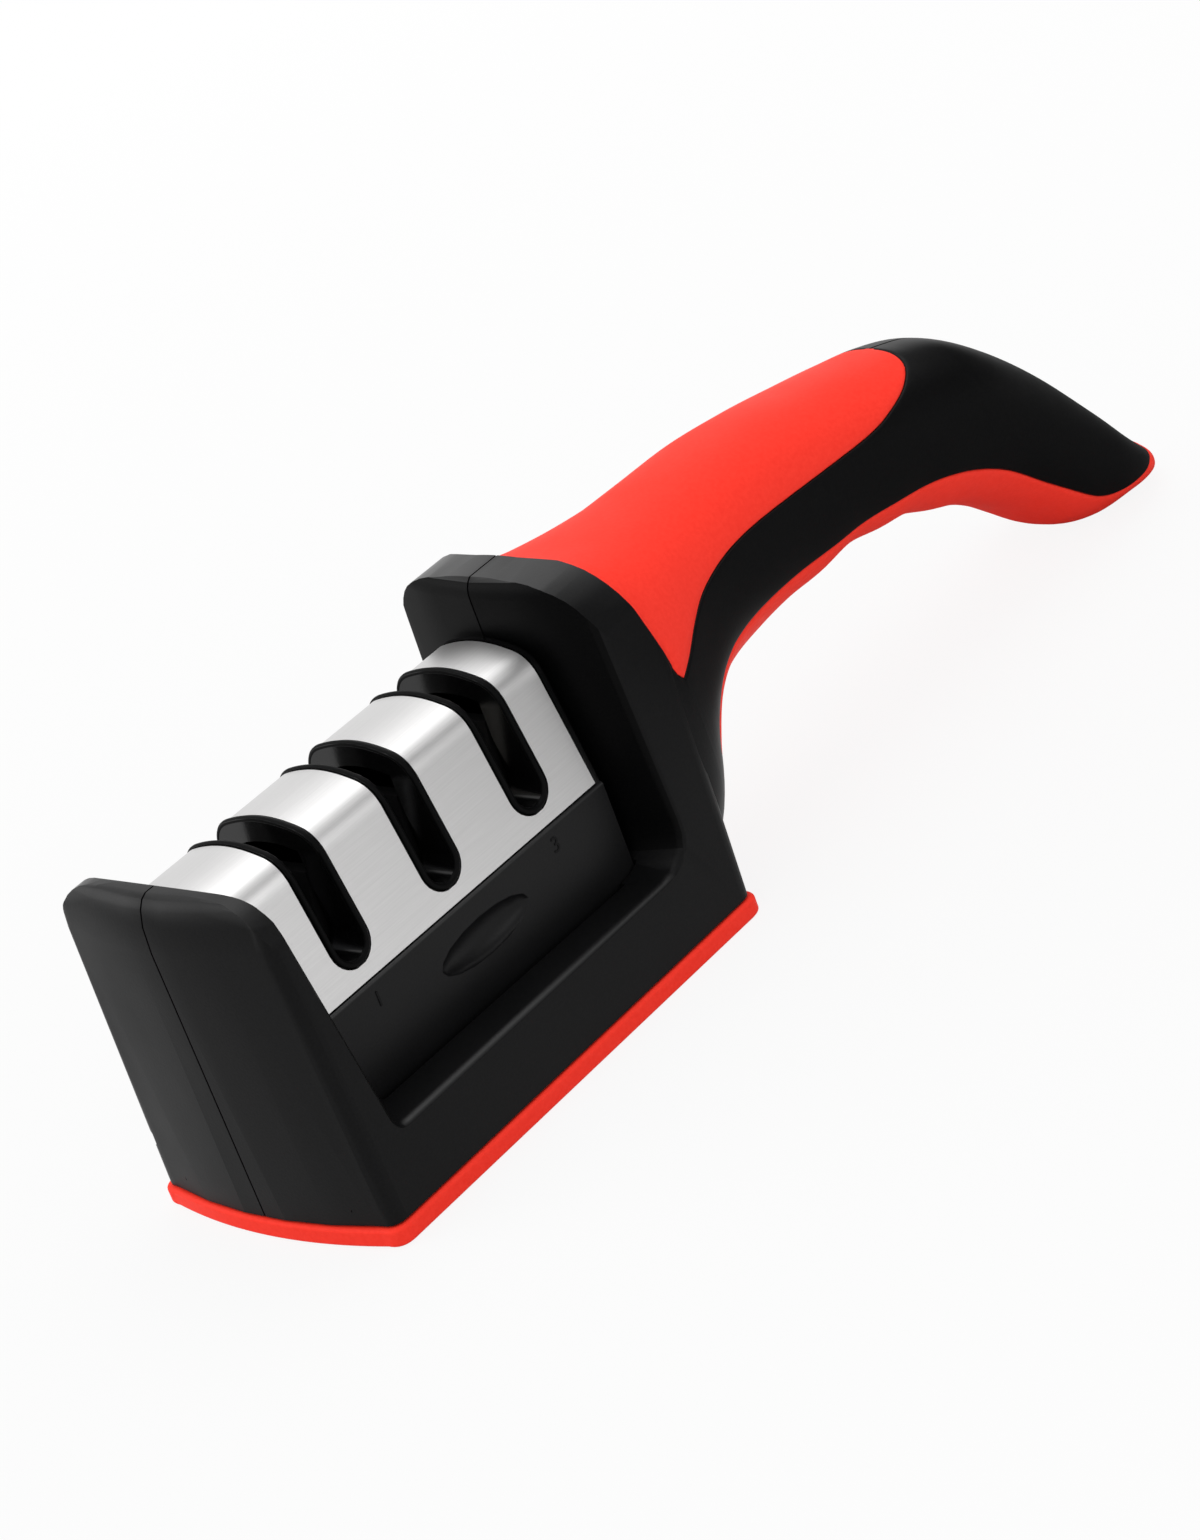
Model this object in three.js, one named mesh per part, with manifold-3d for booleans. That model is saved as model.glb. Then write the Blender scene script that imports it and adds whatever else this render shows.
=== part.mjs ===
// A hand-held three-stage knife sharpener: a black plastic housing in two half
// shells with a handle, a red rubber base pad, two red grips, and a drop-in
// sharpening cartridge under a bent steel cover. Millimetres, +Z up, +X to the
// handle. The origin is the middle of the pad's underside, on the mid-plane.
import * as THREE from 'three';
import { mergeVertices } from 'three/addons/utils/BufferGeometryUtils.js';
import Module from 'manifold-3d';

const wasm = await Module();
wasm.setup();

// General fits
const gap = 0.3;
const slide_gap = 0.4;
const wall = 2.2;

// Base and housing
const base_length = 84;
const front_half_width = 23.9;
const rear_half_width = 22.3;
const front_bulge = 2.6;
const rear_bulge = 1.6;
const corner_radius = 2.8;
const pad_thickness = 2.9;
const pad_proud = 0.6;
const side_draft = 0.056;
const rear_lean = 0.09;
const ledge_height = 14.4;
const ledge_fillet = 6;

// Towers
const front_tower_height = 54.2;
const front_tower_thickness = 3.9;
const front_round = 3;
const tower_face_slope = 0.11;
const rear_tower_height = 60.4;
const rear_tower_depth = 12.5;
const collar_thickness = 7.5;
const rear_tower_curve = 3.6;
const front_tower_corner = 10;
const rear_tower_corner = 13;
const tower_round = 2.2;
const recess_edge = 1;

// Handle skin and grips
const handle_overlap = 7;
const handle_length = 135.4;
const handle_height = 60;
const handle_half_width = 13.7;
const grip_thickness = 1.6;
const handle_wall = 4.2;

// Cartridge and cover
const cartridge_end_gap = 0.8;
const cartridge_bottom = 6.6;
const cartridge_half_width = 13.8;
const end_lip_width = 1.1;
const cover_bottom = 29.5;
const cover_half_width = 13.5;
const cover_shoulder_half = 9.7;
const cover_shoulder = 50;
const cover_crown = 52;
const cover_thickness = 0.8;
const body_wall = 2.4;
const floor_thickness = 3.4;
const middle_slot = -2.85;
const slot_pitch = 19.4;
const slot_half_width = 2.7;
const slot_rim = 0.9;
const slot_end = 31.6;
const liner_depth = 6;
const dimple_x = -1;
const dimple_length = 19;
const dimple_height = 6;
const dimple_depth = 1.6;
const dimple_z = 22.7;

// Sharpening stages
const holder_length = 9.6;
const holder_foot = 6.4;
const holder_foot_height = 10;
const holder_depth = 11;
const holder_top = 44;
const notch_top_half = 3;
const notch_bottom_half = 0.8;
const notch_bottom = 32;
const cross_height = 36.5;
const abrasive_tilt = THREE.MathUtils.degToRad(18);
const abrasive_length = 15;
const abrasive_offset = 2;
const rod_radius = 1.5;
const blade_width = 4;
const blade_thickness = 1.6;

// Screws
const screw_shaft = 1.3;
const screw_head = 2.6;
const screw_head_height = 1.8;
const shell_screw_length = 14;
const shell_screw_seat = 6;
const cartridge_screw_length = 9;
const boss_wall = 1.5;

const base_half = base_length / 2;
const rear_tower_face = base_half - rear_tower_depth;
const cartridge_rear = rear_tower_face - cartridge_end_gap;
const cover_rear = cartridge_rear - end_lip_width;
const handle_start = base_half - handle_overlap;
const housing_bottom = pad_thickness + gap;
const seam = gap / 2;
const far = 100;

// Materials
function material(color, roughness, metalness) {
  return new THREE.MeshStandardMaterial({ color, roughness, metalness });
}
const black_plastic = () => material(0x1c1c1e, 0.48, 0);
const red_rubber = () => material(0xf4321f, 0.6, 0);
const steel = () => material(0xc9cacc, 0.32, 0.95);
const zinc = () => material(0xaeb0b4, 0.35, 0.9);

// A three.js geometry as a solid that can be cut and joined.
function solid(geometry) {
  const plain = geometry.clone();
  plain.deleteAttribute('normal');
  plain.deleteAttribute('uv');
  const merged = mergeVertices(plain, 1e-4);
  const vertProperties = Float32Array.from(merged.attributes.position.array);
  const triVerts = Uint32Array.from(merged.index.array);
  return new wasm.Manifold(new wasm.Mesh({ numProp: 3, vertProperties, triVerts }));
}

function join(parts) {
  return parts.reduce((whole, part) => whole.add(part));
}

function cut(whole, parts) {
  return parts.reduce((rest, part) => rest.subtract(part), whole);
}

const group = new THREE.Group();

// A finished piece, added to the group under its own name.
function piece(name, form, look) {
  const found = form.getMesh();
  const geometry = new THREE.BufferGeometry();
  geometry.setAttribute('position', new THREE.BufferAttribute(Float32Array.from(found.vertProperties), 3));
  geometry.setIndex(Array.from(found.triVerts));
  geometry.computeVertexNormals();
  const mesh = new THREE.Mesh(geometry, look);
  mesh.name = name;
  group.add(mesh);
  return mesh;
}

// Every vertex of a geometry moved by a function of its place.
function moved(geometry, move) {
  const position = geometry.attributes.position;
  for (let i = 0; i < position.count; i++) {
    position.setXYZ(i, ...move(position.getX(i), position.getY(i), position.getZ(i)));
  }
  return geometry;
}

function extruded(shape, depth, steps = 1, curveSegments = 5) {
  return new THREE.ExtrudeGeometry(shape, { depth, steps, curveSegments, bevelEnabled: false });
}

// Outlines drawn in (y, z) or (x, z) and drawn out along the third axis.
function along_x(shape, x0, x1, segments = 5) {
  return solid(moved(extruded(shape, x1 - x0, 1, segments), (a, b, d) => [x0 + d, a, b]));
}
function along_y(shape, y0, y1) {
  return solid(moved(extruded(shape, y1 - y0), (a, b, d) => [a, y1 - d, b]));
}
function polygon(points) {
  return new THREE.Shape(points.map(([a, b]) => new THREE.Vector2(a, b)));
}

// An outline's points moved inward by a distance, or outward by a negative one.
function drawn_in(points, distance) {
  const count = points.length;
  const side = Math.sign(THREE.ShapeUtils.area(points));
  const normal = (from, to) => new THREE.Vector2(from.y - to.y, to.x - from.x).normalize();
  return points.map((p, i) => {
    const before = normal(points[(i + count - 1) % count], p);
    const after = normal(p, points[(i + 1) % count]);
    const reach = side * distance / Math.max(1 + before.dot(after), 0.2);
    return p.clone().addScaledVector(before.add(after), reach);
  });
}

function box(x0, x1, y0, y1, z0, z1) {
  const geometry = new THREE.BoxGeometry(x1 - x0, y1 - y0, z1 - z0);
  geometry.translate((x0 + x1) / 2, (y0 + y1) / 2, (z0 + z1) / 2);
  return solid(geometry);
}

// A round bar along Y or Z.
function bar_y(radius, x, z, y0, y1, sides = 10) {
  const geometry = new THREE.CylinderGeometry(radius, radius, y1 - y0, sides);
  geometry.translate(x, (y0 + y1) / 2, z);
  return solid(geometry);
}
function bar_z(radius, x, y, z0, z1, sides = 16) {
  const geometry = new THREE.CylinderGeometry(radius, radius, z1 - z0, sides);
  geometry.rotateX(Math.PI / 2);
  geometry.translate(x, y, (z0 + z1) / 2);
  return solid(geometry);
}

// An upright block: one plan outline, moved and drawn in at each level.
function stacked(shape, levels, move) {
  const geometry = extruded(shape, levels.length - 1, levels.length - 1);
  return solid(moved(geometry, (x, y, ring) => {
    const level = levels[Math.round(ring)];
    return [...move(x, y, level), level.z];
  }));
}

function lerp(a, b, t) {
  return a + (b - a) * t;
}

function half_width_at(x) {
  return lerp(front_half_width, rear_half_width, (x + base_half) / base_length);
}

// Plan outline of the base: bulged ends, tapering sides, rounded corners.
function base_outline(inset) {
  const front = -base_half + inset;
  const rear = base_half - inset;
  const r = corner_radius;
  const side = (x) => half_width_at(x) - inset;
  const shape = new THREE.Shape();
  shape.moveTo(front + r, -side(front + r));
  shape.lineTo(rear - r, -side(rear - r));
  shape.quadraticCurveTo(rear, -side(rear), rear, -side(rear) + r);
  shape.quadraticCurveTo(rear + 2 * rear_bulge, 0, rear, side(rear) - r);
  shape.quadraticCurveTo(rear, side(rear), rear - r, side(rear - r));
  shape.lineTo(front + r, side(front + r));
  shape.quadraticCurveTo(front, side(front), front, side(front) - r);
  shape.quadraticCurveTo(front - 2 * front_bulge, 0, front, -side(front) + r);
  shape.quadraticCurveTo(front, -side(front), front + r, -side(front + r));
  return shape;
}

function drafted(y, z) {
  return y * (1 - side_draft * (z - housing_bottom) / front_half_width);
}

function tower_face(z) {
  return -base_half + front_tower_thickness + (front_tower_height - z) * tower_face_slope;
}

// Lower housing, from the pad up to the ledge beside the cartridge.
function tub(inset, top) {
  const floor = housing_bottom + inset;
  const levels = [
    { z: floor, in: 0 },
    { z: top - 1.2, in: 0 },
    { z: top - 0.4, in: 0.35 },
    { z: top, in: 1.2 },
  ];
  return stacked(base_outline(pad_proud + inset), levels, (x, y, level) => {
    const rise = level.z - housing_bottom;
    const lean = rear_lean * rise * THREE.MathUtils.clamp(x / base_half, 0, 1);
    return [x * (1 - level.in / base_half) + lean, drafted(y, level.z) * (1 - level.in / 22)];
  });
}

// Front tower: bulged front face; the recess gives it its inner face.
function front_tower() {
  const front = -base_half + pad_proud;
  const rear = tower_face(housing_bottom) + 3;
  const half = front_half_width - pad_proud;
  const r = corner_radius;
  const shape = new THREE.Shape();
  shape.moveTo(rear, -half);
  shape.lineTo(rear, half);
  shape.lineTo(front + r, half);
  shape.quadraticCurveTo(front, half, front, half - r);
  shape.quadraticCurveTo(front - 2 * front_bulge, 0, front, -half + r);
  shape.quadraticCurveTo(front, -half, front + r, -half);
  const levels = [
    { z: housing_bottom, in: 0, front: 0 },
    { z: front_tower_height - 2.6 * front_round, in: 0, front: 0 },
    { z: front_tower_height - 1.3 * front_round, in: 0, front: 0.12 },
    { z: front_tower_height - 0.55 * front_round, in: 0.15, front: 0.38 },
    { z: front_tower_height - 0.16 * front_round, in: 0.7, front: 0.68 },
    { z: front_tower_height, in: 1.4, front: 1 },
  ];
  return stacked(shape, levels, (x, y, level) => {
    const back = THREE.MathUtils.clamp((x - front) / (rear - front), 0, 1);
    const shift = lerp(level.front * front_round, 0, back);
    const taper = (half_width_at(x) - pad_proud) / half;
    return [x + shift, drafted(y * taper, level.z) * (1 - level.in / 22)];
  });
}

// Front view of a tower: drafted sides and rounded top corners.
function tower_view(half, height, r) {
  const side = (z) => drafted(half, z);
  const shoulder = height - r;
  const crown = height + 0.3;
  const shape = new THREE.Shape();
  shape.moveTo(-half - 1, -1);
  shape.lineTo(half + 1, -1);
  shape.lineTo(side(shoulder) + 0.05, shoulder);
  shape.bezierCurveTo(side(height) + 0.2, height - 0.4 * r, side(height) - 0.35 * r, height - 0.4,
    side(height) - r, height - 0.2);
  shape.quadraticCurveTo(0, crown + 0.2, -side(height) + r, height - 0.2);
  shape.bezierCurveTo(-side(height) + 0.35 * r, height - 0.4, -side(height) - 0.2, height - 0.4 * r,
    -side(shoulder) - 0.05, shoulder);
  return shape;
}

// Side view of the open recess between the towers, with its soft corners.
function recess_view() {
  const rear = rear_tower_face;
  const front_top = front_tower_height - tower_round;
  const shape = new THREE.Shape();
  shape.moveTo(tower_face(ledge_height) + 2, ledge_height);
  shape.lineTo(rear - ledge_fillet, ledge_height);
  shape.quadraticCurveTo(rear, ledge_height, rear, ledge_height + ledge_fillet);
  shape.lineTo(rear, rear_tower_height - 1.3 * tower_round);
  shape.quadraticCurveTo(rear, rear_tower_height - 0.2, rear + tower_round, rear_tower_height + 0.4);
  shape.lineTo(rear + tower_round, far);
  shape.lineTo(tower_face(front_top) - tower_round, far);
  shape.lineTo(tower_face(front_top) - tower_round, front_tower_height + 0.4);
  shape.quadraticCurveTo(tower_face(front_top), front_tower_height - 0.2, tower_face(front_top), front_top - 1);
  shape.lineTo(tower_face(ledge_height + 2), ledge_height + 2);
  shape.quadraticCurveTo(tower_face(ledge_height), ledge_height, tower_face(ledge_height) + 2, ledge_height);
  return shape;
}

// The recess drawn out across the housing. It widens at the sides, which rounds
// the rim, and its rear face bows toward the cartridge in the middle.
function recess() {
  const rim = [
    { deep: -1.2, out: 1.3 * recess_edge },
    { deep: 0, out: 0.8 * recess_edge },
    { deep: 0.35, out: 0.35 * recess_edge },
    { deep: 1.2, out: 0 },
  ];
  const middle = [0.66, 0.4, 0, -0.4, -0.66];
  const rings = [
    ...rim.map((ring) => ({ ...ring, sign: 1 })),
    ...middle.map((part) => ({ part, out: 0 })),
    ...rim.toReversed().map((ring) => ({ ...ring, sign: -1 })),
  ];
  const view = recess_view();
  const points = view.getPoints(5);
  const wider = rings.map((ring) => drawn_in(points, -ring.out));
  const place = (a, b) => points.findIndex((p) => Math.hypot(p.x - a, p.y - b) < 1e-3);
  const flat = extruded(new THREE.Shape(points), rings.length - 1, rings.length - 1);
  return solid(moved(flat, (a, b, k) => {
    const ring = rings[Math.round(k)];
    const { x, y: z } = wider[Math.round(k)][place(a, b)];
    const half = drafted(half_width_at(x) - pad_proud, z);
    const y = 'part' in ring ? ring.part * half : ring.sign * (half - ring.deep);
    const bow = THREE.MathUtils.clamp(x / rear_tower_face, 0, 1) * rear_tower_curve * (y / half) ** 2;
    return [x + bow, y, z];
  }));
}

// Smooth curve through a few key points (x, value).
function through(keys) {
  const at = keys.map((key) => key[0]);
  const values = keys.map((key) => key[1]);
  const curve = new THREE.CubicInterpolant(at, values, 1);
  return (x) => curve.evaluate(x)[0];
}

// Side view and width of the handle from the collar to the tip: [share of its
// length, share of its height or half width].
const handle_top = through([[0, 0.98], [0.0662, 0.94], [0.1103, 0.9233], [0.1691, 0.9133],
  [0.2574, 0.9117], [0.3456, 0.9083], [0.4338, 0.8833], [0.5221, 0.8483], [0.5956, 0.8167], [0.6544, 0.7883],
  [0.7132, 0.74], [0.7721, 0.6417], [0.8309, 0.51], [0.8897, 0.34], [0.9338, 0.2033], [0.9706, 0.118],
  [1, 0.08]]);
const handle_bottom = through([[0, 0.0933], [0.0559, 0.09], [0.0868, 0.15], [0.1088, 0.235],
  [0.1382, 0.3167], [0.1735, 0.3767], [0.2132, 0.41], [0.2721, 0.43], [0.3382, 0.44], [0.3971, 0.4367],
  [0.4559, 0.4467], [0.5147, 0.42], [0.5662, 0.4], [0.6176, 0.35], [0.6618, 0.31], [0.7059, 0.2533],
  [0.7426, 0.195], [0.7794, 0.1233], [0.8162, 0.0533], [0.8603, 0.0133], [0.9191, 0.0067], [0.9632, 0.0067],
  [1, 0.01]]);
const handle_half = through([[0, 1.44], [0.0662, 1.43], [0.1103, 1.31], [0.1618, 1.155],
  [0.2206, 1.0438], [0.2868, 0.9927], [0.3603, 0.9708], [0.4485, 0.9708], [0.5368, 0.9854], [0.625, 1],
  [0.7132, 1], [0.7868, 0.9927], [0.8456, 0.9781], [0.9044, 0.93], [0.9485, 0.8], [0.9779, 0.6],
  [1, 0.3]]);
const handle_x = (share) => handle_start + share * handle_length;

// Section of the handle at a share of its length: a soft-cornered oval, boxier
// and drafted at the root.
function handle_point(share, angle, inset) {
  const root = THREE.MathUtils.clamp((0.2 - share) / 0.18, 0, 1);
  const power = lerp(2.35, 3.4, root);
  const top = handle_top(share) * handle_height - inset;
  const bottom = handle_bottom(share) * handle_height + inset;
  const middle = (top + bottom) / 2;
  const high = Math.max((top - bottom) / 2, 0.4);
  const half = Math.max(handle_half(share) * handle_half_width - inset, 0.4);
  const c = Math.cos(angle);
  const s = Math.sin(angle);
  const z = middle + high * Math.sign(c) * Math.abs(c) ** (2 / power);
  const draft = 1 + root * side_draft * (0.7 * handle_height - z) / front_half_width;
  return [handle_x(share), half * draft * Math.sign(s) * Math.abs(s) ** (2 / power), z];
}

// The handle as a closed skin: a cylinder's rings moved onto the sections.
function handle(inset, sides = 30, rings = 42, start = 0, end = 1) {
  const last = end - inset * 1.2 / handle_length;
  const geometry = new THREE.CylinderGeometry(1, 1, 1, sides, rings);
  return solid(moved(geometry, (a, along, b) => {
    const t = 0.5 - along;
    const share = lerp(start, last, lerp(t, Math.sin(t * Math.PI / 2), 0.75));
    const reach = Math.hypot(a, b);
    const [x, y, z] = handle_point(share, Math.atan2(a, b), inset);
    const [, , z0] = handle_point(share, 0, inset);
    const [, , z1] = handle_point(share, Math.PI, inset);
    return [x, y * reach, lerp((z0 + z1) / 2, z, reach)];
  }));
}

// Side view of the two grips, in the same shares.
function curve_points(keys, count) {
  const line = new THREE.SplineCurve(keys.map(([share, rise]) => new THREE.Vector2(share, rise)));
  return line.getPoints(count);
}
function on_handle(shares) {
  return new THREE.Shape(shares.map((p) => new THREE.Vector2(handle_x(p.x), p.y * handle_height)));
}
function top_grip_view() {
  const edge = curve_points([[0.0706, 0.6067], [0.1, 0.6367], [0.136, 0.6833], [0.1838, 0.7233],
    [0.2721, 0.7467], [0.4191, 0.7333], [0.5074, 0.7267], [0.5588, 0.7383], [0.6029, 0.757], [0.634, 0.784],
    [0.655, 0.835], [0.664, 0.9]], 40);
  return on_handle([...edge, new THREE.Vector2(0.664, 1.17), new THREE.Vector2(-0.006, 1.17)]);
}
function finger_grip_view() {
  const edge = curve_points([[0.986, 0.19], [0.974, 0.13], [0.954, 0.094], [0.922, 0.073], [0.885, 0.077],
    [0.8382, 0.115], [0.7721, 0.2333], [0.6912, 0.3833], [0.6029, 0.4767], [0.5, 0.5167], [0.4191, 0.53],
    [0.3309, 0.5433], [0.2574, 0.5433], [0.1985, 0.5233], [0.1544, 0.4867], [0.1176, 0.4333],
    [0.1, 0.3767]], 48);
  return on_handle([...edge, new THREE.Vector2(0.1, -0.08), new THREE.Vector2(1.14, -0.08),
    new THREE.Vector2(1.14, 0.3)]);
}

// Outside of the housing: tub, collar and front tower less the recess, and the handle.
const handle_outside = handle(0);
const tall = tub(0, rear_tower_height + 4);
const collar_rear = rear_tower_face + collar_thickness;
const collar_side = polygon([[rear_tower_face - 5, 0], [far, 0], [far, rear_tower_height / 2],
  [base_half + 2.5, rear_tower_height * 0.6], [collar_rear + 1.7, rear_tower_height - 2.4],
  [collar_rear + 1.1, rear_tower_height - 0.8], [collar_rear, rear_tower_height], [collar_rear, far],
  [rear_tower_face - 5, far]]);
const collar_front = along_x(tower_view(half_width_at(rear_tower_face + rear_tower_curve) - pad_proud + 0.3,
  rear_tower_height, rear_tower_corner), -far, far, 10);
const low = box(-far, far, -far, far, 0, ledge_height + 1);
const open_recess = recess();
const rear_block = tall.intersect(along_y(collar_side, -far, far)).intersect(collar_front)
  .subtract(open_recess);
const front_block = front_tower().intersect(along_x(tower_view(front_half_width - pad_proud,
  front_tower_height, front_tower_corner), -far, far, 9)).subtract(open_recess);
const cradle = tall.intersect(low).subtract(open_recess);
const outside = join([cradle, front_block, rear_block, handle_outside]);

// Pocket that the cartridge drops into, and the same pocket with its walls.
function pocket(grow) {
  const floor = cartridge_bottom - slide_gap - grow;
  const low = tower_face(floor) + 0.05 - grow;
  const high = tower_face(front_tower_height + 8) + 0.05 - grow;
  const rear = cartridge_rear + slide_gap + grow;
  const half = cartridge_half_width + slide_gap + grow;
  const top = front_tower_height + 8;
  return along_y(polygon([[low, floor], [rear, floor], [rear, top], [high, top]]), -half, half);
}

// Hollow inside the housing.
const tub_floor = housing_bottom + wall;
const front_room = front_tower_height * 0.55;
const front_hollow = along_y(polygon([[-base_half - 0.2, tub_floor], [tower_face(tub_floor) - wall, tub_floor],
  [tower_face(front_room) - wall, front_room], [-base_half + wall + 0.4, front_room]]),
-front_half_width * 0.7, front_half_width * 0.7);
const rear_room = rear_tower_height - 5.4;
const rear_hollow = along_y(polygon([[rear_tower_face + 2.5, tub_floor], [base_half - 2, tub_floor],
  [base_half + 0.4, rear_room * 0.44], [base_half + 0.4, rear_room * 0.73], [collar_rear - 0.5, rear_room],
  [rear_tower_face + 3.5, rear_room]]), -rear_half_width * 0.58, rear_half_width * 0.58);
const hollow = cut(join([tub(wall, ledge_height - wall), front_hollow, rear_hollow,
  handle(handle_wall, 20, 20, 0.015, 0.845)]), [pocket(wall)]);

// Screw posts, [x, z] on the mid-plane.
const posts = [[-base_half + 3.6, 11], [base_half - 5.6, 12], [handle_x(0.154), handle_height * 0.595],
  [handle_x(0.654), handle_height * 0.525]];
function post(x, z, sign) {
  const radius = sign > 0 ? screw_head + gap + boss_wall : screw_shaft + gap + boss_wall;
  const y0 = sign > 0 ? 0 : -far / 2;
  return bar_y(radius, x, z, y0, y0 + far / 2).intersect(outside);
}
function post_hole(x, z, sign) {
  if (sign < 0) return bar_y(screw_shaft + gap, x, z, shell_screw_seat - shell_screw_length - 1, 1);
  const well = bar_y(screw_head + gap, x, z, shell_screw_seat - gap, far / 2);
  return well.add(bar_y(screw_shaft + gap, x, z, -1, shell_screw_seat));
}

// Recesses that the two grips sit in.
const under_grips = handle(grip_thickness + gap);
const top_recess = along_y(top_grip_view(), -far, far).subtract(under_grips).subtract(rear_block);
const finger_recess = along_y(finger_grip_view(), -far, far).subtract(under_grips);

function shell(sign) {
  const half = sign > 0 ? box(-far, 2 * far, seam, far, -far, far) : box(-far, 2 * far, -far, -seam, -far, far);
  const walls = cut(outside, [hollow, pocket(0)]);
  const kept = join([walls, ...posts.map(([x, z]) => post(x, z, sign))]);
  const bored = cut(kept, posts.map(([x, z]) => post_hole(x, z, sign)));
  return cut(bored, [top_recess, finger_recess, pocket(0)]).intersect(half);
}
piece('left_shell', shell(1), black_plastic());
piece('right_shell', shell(-1), black_plastic());

// Base pad, with a soft edge above and below.
const pad_levels = [
  { z: 0, in: 0.5 },
  { z: 0.6, in: 0 },
  { z: pad_thickness - 0.7, in: 0 },
  { z: pad_thickness, in: 0.5 },
];
piece('base_pad', stacked(base_outline(0), pad_levels, (x, y, level) => [
  x * (1 - level.in / base_half), y * (1 - level.in / front_half_width)]), red_rubber());

// Grips: thin skins of the handle, kept a gap inside their recesses.
const skin = handle_outside.subtract(handle(grip_thickness));
const collar_clear = rear_block.translate(gap, 0, 0).add(rear_block);
function fitted(view) {
  return skin.intersect(along_y(new THREE.Shape(drawn_in(view.getPoints(), gap)), -far, far));
}
piece('top_grip', fitted(top_grip_view()).subtract(collar_clear), red_rubber());
piece('finger_grip', fitted(finger_grip_view()), red_rubber());

// A pan-head screw with a cross recess, its shaft along -Z from its seat at z = 0.
function screw(length) {
  const profile = [[0, -length], [screw_shaft * 0.6, -length], [screw_shaft, -length + 1.2],
    [screw_shaft, 0], [screw_head, 0], [screw_head, screw_head_height * 0.55],
    [screw_head * 0.7, screw_head_height], [0, screw_head_height]];
  const turned = solid(new THREE.LatheGeometry(profile.map(([r, h]) => new THREE.Vector2(r, h)), 8)
    .rotateX(Math.PI / 2));
  const arm = screw_head * 0.62;
  const depth = screw_head_height * 0.45;
  const across = box(-arm, arm, -0.35, 0.35, depth, screw_head_height + 1);
  return cut(turned, [across, across.rotate([0, 0, 90])]);
}
const shell_screw = screw(shell_screw_length).rotate([-90, 0, 0]);
posts.forEach(([x, z], i) => {
  piece(`shell_screw_${i + 1}`, shell_screw.translate(x, shell_screw_seat, z), zinc());
});

// Half outline of the steel cover in (y, z), drawn in by a distance.
function cover_outline(inset, bottom) {
  const side_low = new THREE.Vector2(cover_half_width - inset, bottom);
  const bend_low = new THREE.Vector2(cover_shoulder_half + 0.6 - inset * 0.98,
    cover_shoulder - 3.4 - inset * 0.2);
  const bend = new THREE.Vector2(cover_shoulder_half - inset * 0.7, cover_shoulder - inset * 0.75);
  const bend_high = new THREE.Vector2(cover_shoulder_half - 2.9 - inset * 0.3,
    cover_shoulder + 0.9 - inset * 0.95);
  const crown = new THREE.Vector2(0, cover_crown - inset);
  const shoulder = new THREE.QuadraticBezierCurve(bend_low, bend, bend_high).getPoints(4);
  const arch = new THREE.QuadraticBezierCurve(bend_high, new THREE.Vector2(3.2, crown.y), crown).getPoints(3);
  return [side_low, ...shoulder, ...arch.slice(1)];
}
function mirrored(half) {
  const other = half.slice(0, -1).map((p) => new THREE.Vector2(-p.x, p.y)).reverse();
  return [...half, ...other];
}
function cover_shape(inset, bottom) {
  return new THREE.Shape(mirrored(cover_outline(inset, bottom)));
}

// A length of the cartridge section whose front end follows the tower's inner face.
function cartridge_run(shape, clear, rear) {
  const front = (z) => tower_face(z) + clear;
  return solid(moved(extruded(shape, 1), (y, z, t) => [lerp(front(z), rear, t), y, z]));
}

// A slot open at the top with a round lower end, right through the cartridge.
function slot(x, half, end) {
  const shape = new THREE.Shape();
  shape.moveTo(x + half, 70);
  shape.lineTo(x - half, 70);
  shape.lineTo(x - half, end + half);
  shape.absarc(x, end + half, half, Math.PI, 2 * Math.PI, false);
  return along_y(shape, -20, 20);
}
const slots = [-1, 0, 1].map((i) => middle_slot + i * slot_pitch);
const rim_half = slot_half_width + slot_rim;
const steel_half = rim_half + gap;
const rim_end = slot_end + gap;
const void_end = rim_end + slot_rim;

// Cartridge body: a thin-walled cap, narrower where the steel covers it.
const under_cover = cover_thickness + gap;
const lower_box = polygon([[-cartridge_half_width, cartridge_bottom], [cartridge_half_width, cartridge_bottom],
  [cartridge_half_width, cover_bottom - gap], [-cartridge_half_width, cover_bottom - gap]]);
const lower_body = cartridge_run(lower_box, slide_gap, cartridge_rear);
const upper_body = cartridge_run(cover_shape(under_cover, cover_bottom - 4), slide_gap, cartridge_rear);
const end_lip = along_x(cover_shape(-0.1, cover_bottom - 2), cover_rear + gap, cartridge_rear);
const rims = slots.map((x) => along_x(cover_shape(-0.15, cover_bottom - 2), x - 8, x + 8)
  .intersect(slot(x, rim_half, rim_end)));
const body_inside = cartridge_run(cover_shape(under_cover + body_wall, cover_bottom - 3), slide_gap + body_wall,
  cartridge_rear - body_wall);
const inner_half = cartridge_half_width - body_wall;
const lower_room = polygon([[-inner_half, cartridge_bottom - 1], [inner_half, cartridge_bottom - 1],
  [inner_half, cover_bottom - 2.8], [-inner_half, cover_bottom - 2.8]]);
const lower_inside = cartridge_run(lower_room, slide_gap + body_wall, cartridge_rear - body_wall);
function dimple(sign) {
  const geometry = new THREE.SphereGeometry(1, 14, 8);
  geometry.rotateX(Math.PI / 2);
  geometry.scale(dimple_length / 2, dimple_depth, dimple_height / 2);
  geometry.translate(dimple_x, sign * cartridge_half_width, dimple_z);
  return solid(geometry);
}
const post_x = [slots[0] + slot_pitch / 2, slots[1] + slot_pitch / 2];
const post_y = 8;
const cartridge_posts = post_x.flatMap((x) => [[x, post_y], [x, -post_y]]);
const post_floor = cartridge_bottom + floor_thickness + gap;
const post_top = 20;
const cap = cut(join([lower_body, upper_body, end_lip, ...rims]), [body_inside, lower_inside]);
const middle_room = box(-far, far, -liner_depth, liner_depth, 0, far);
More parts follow.
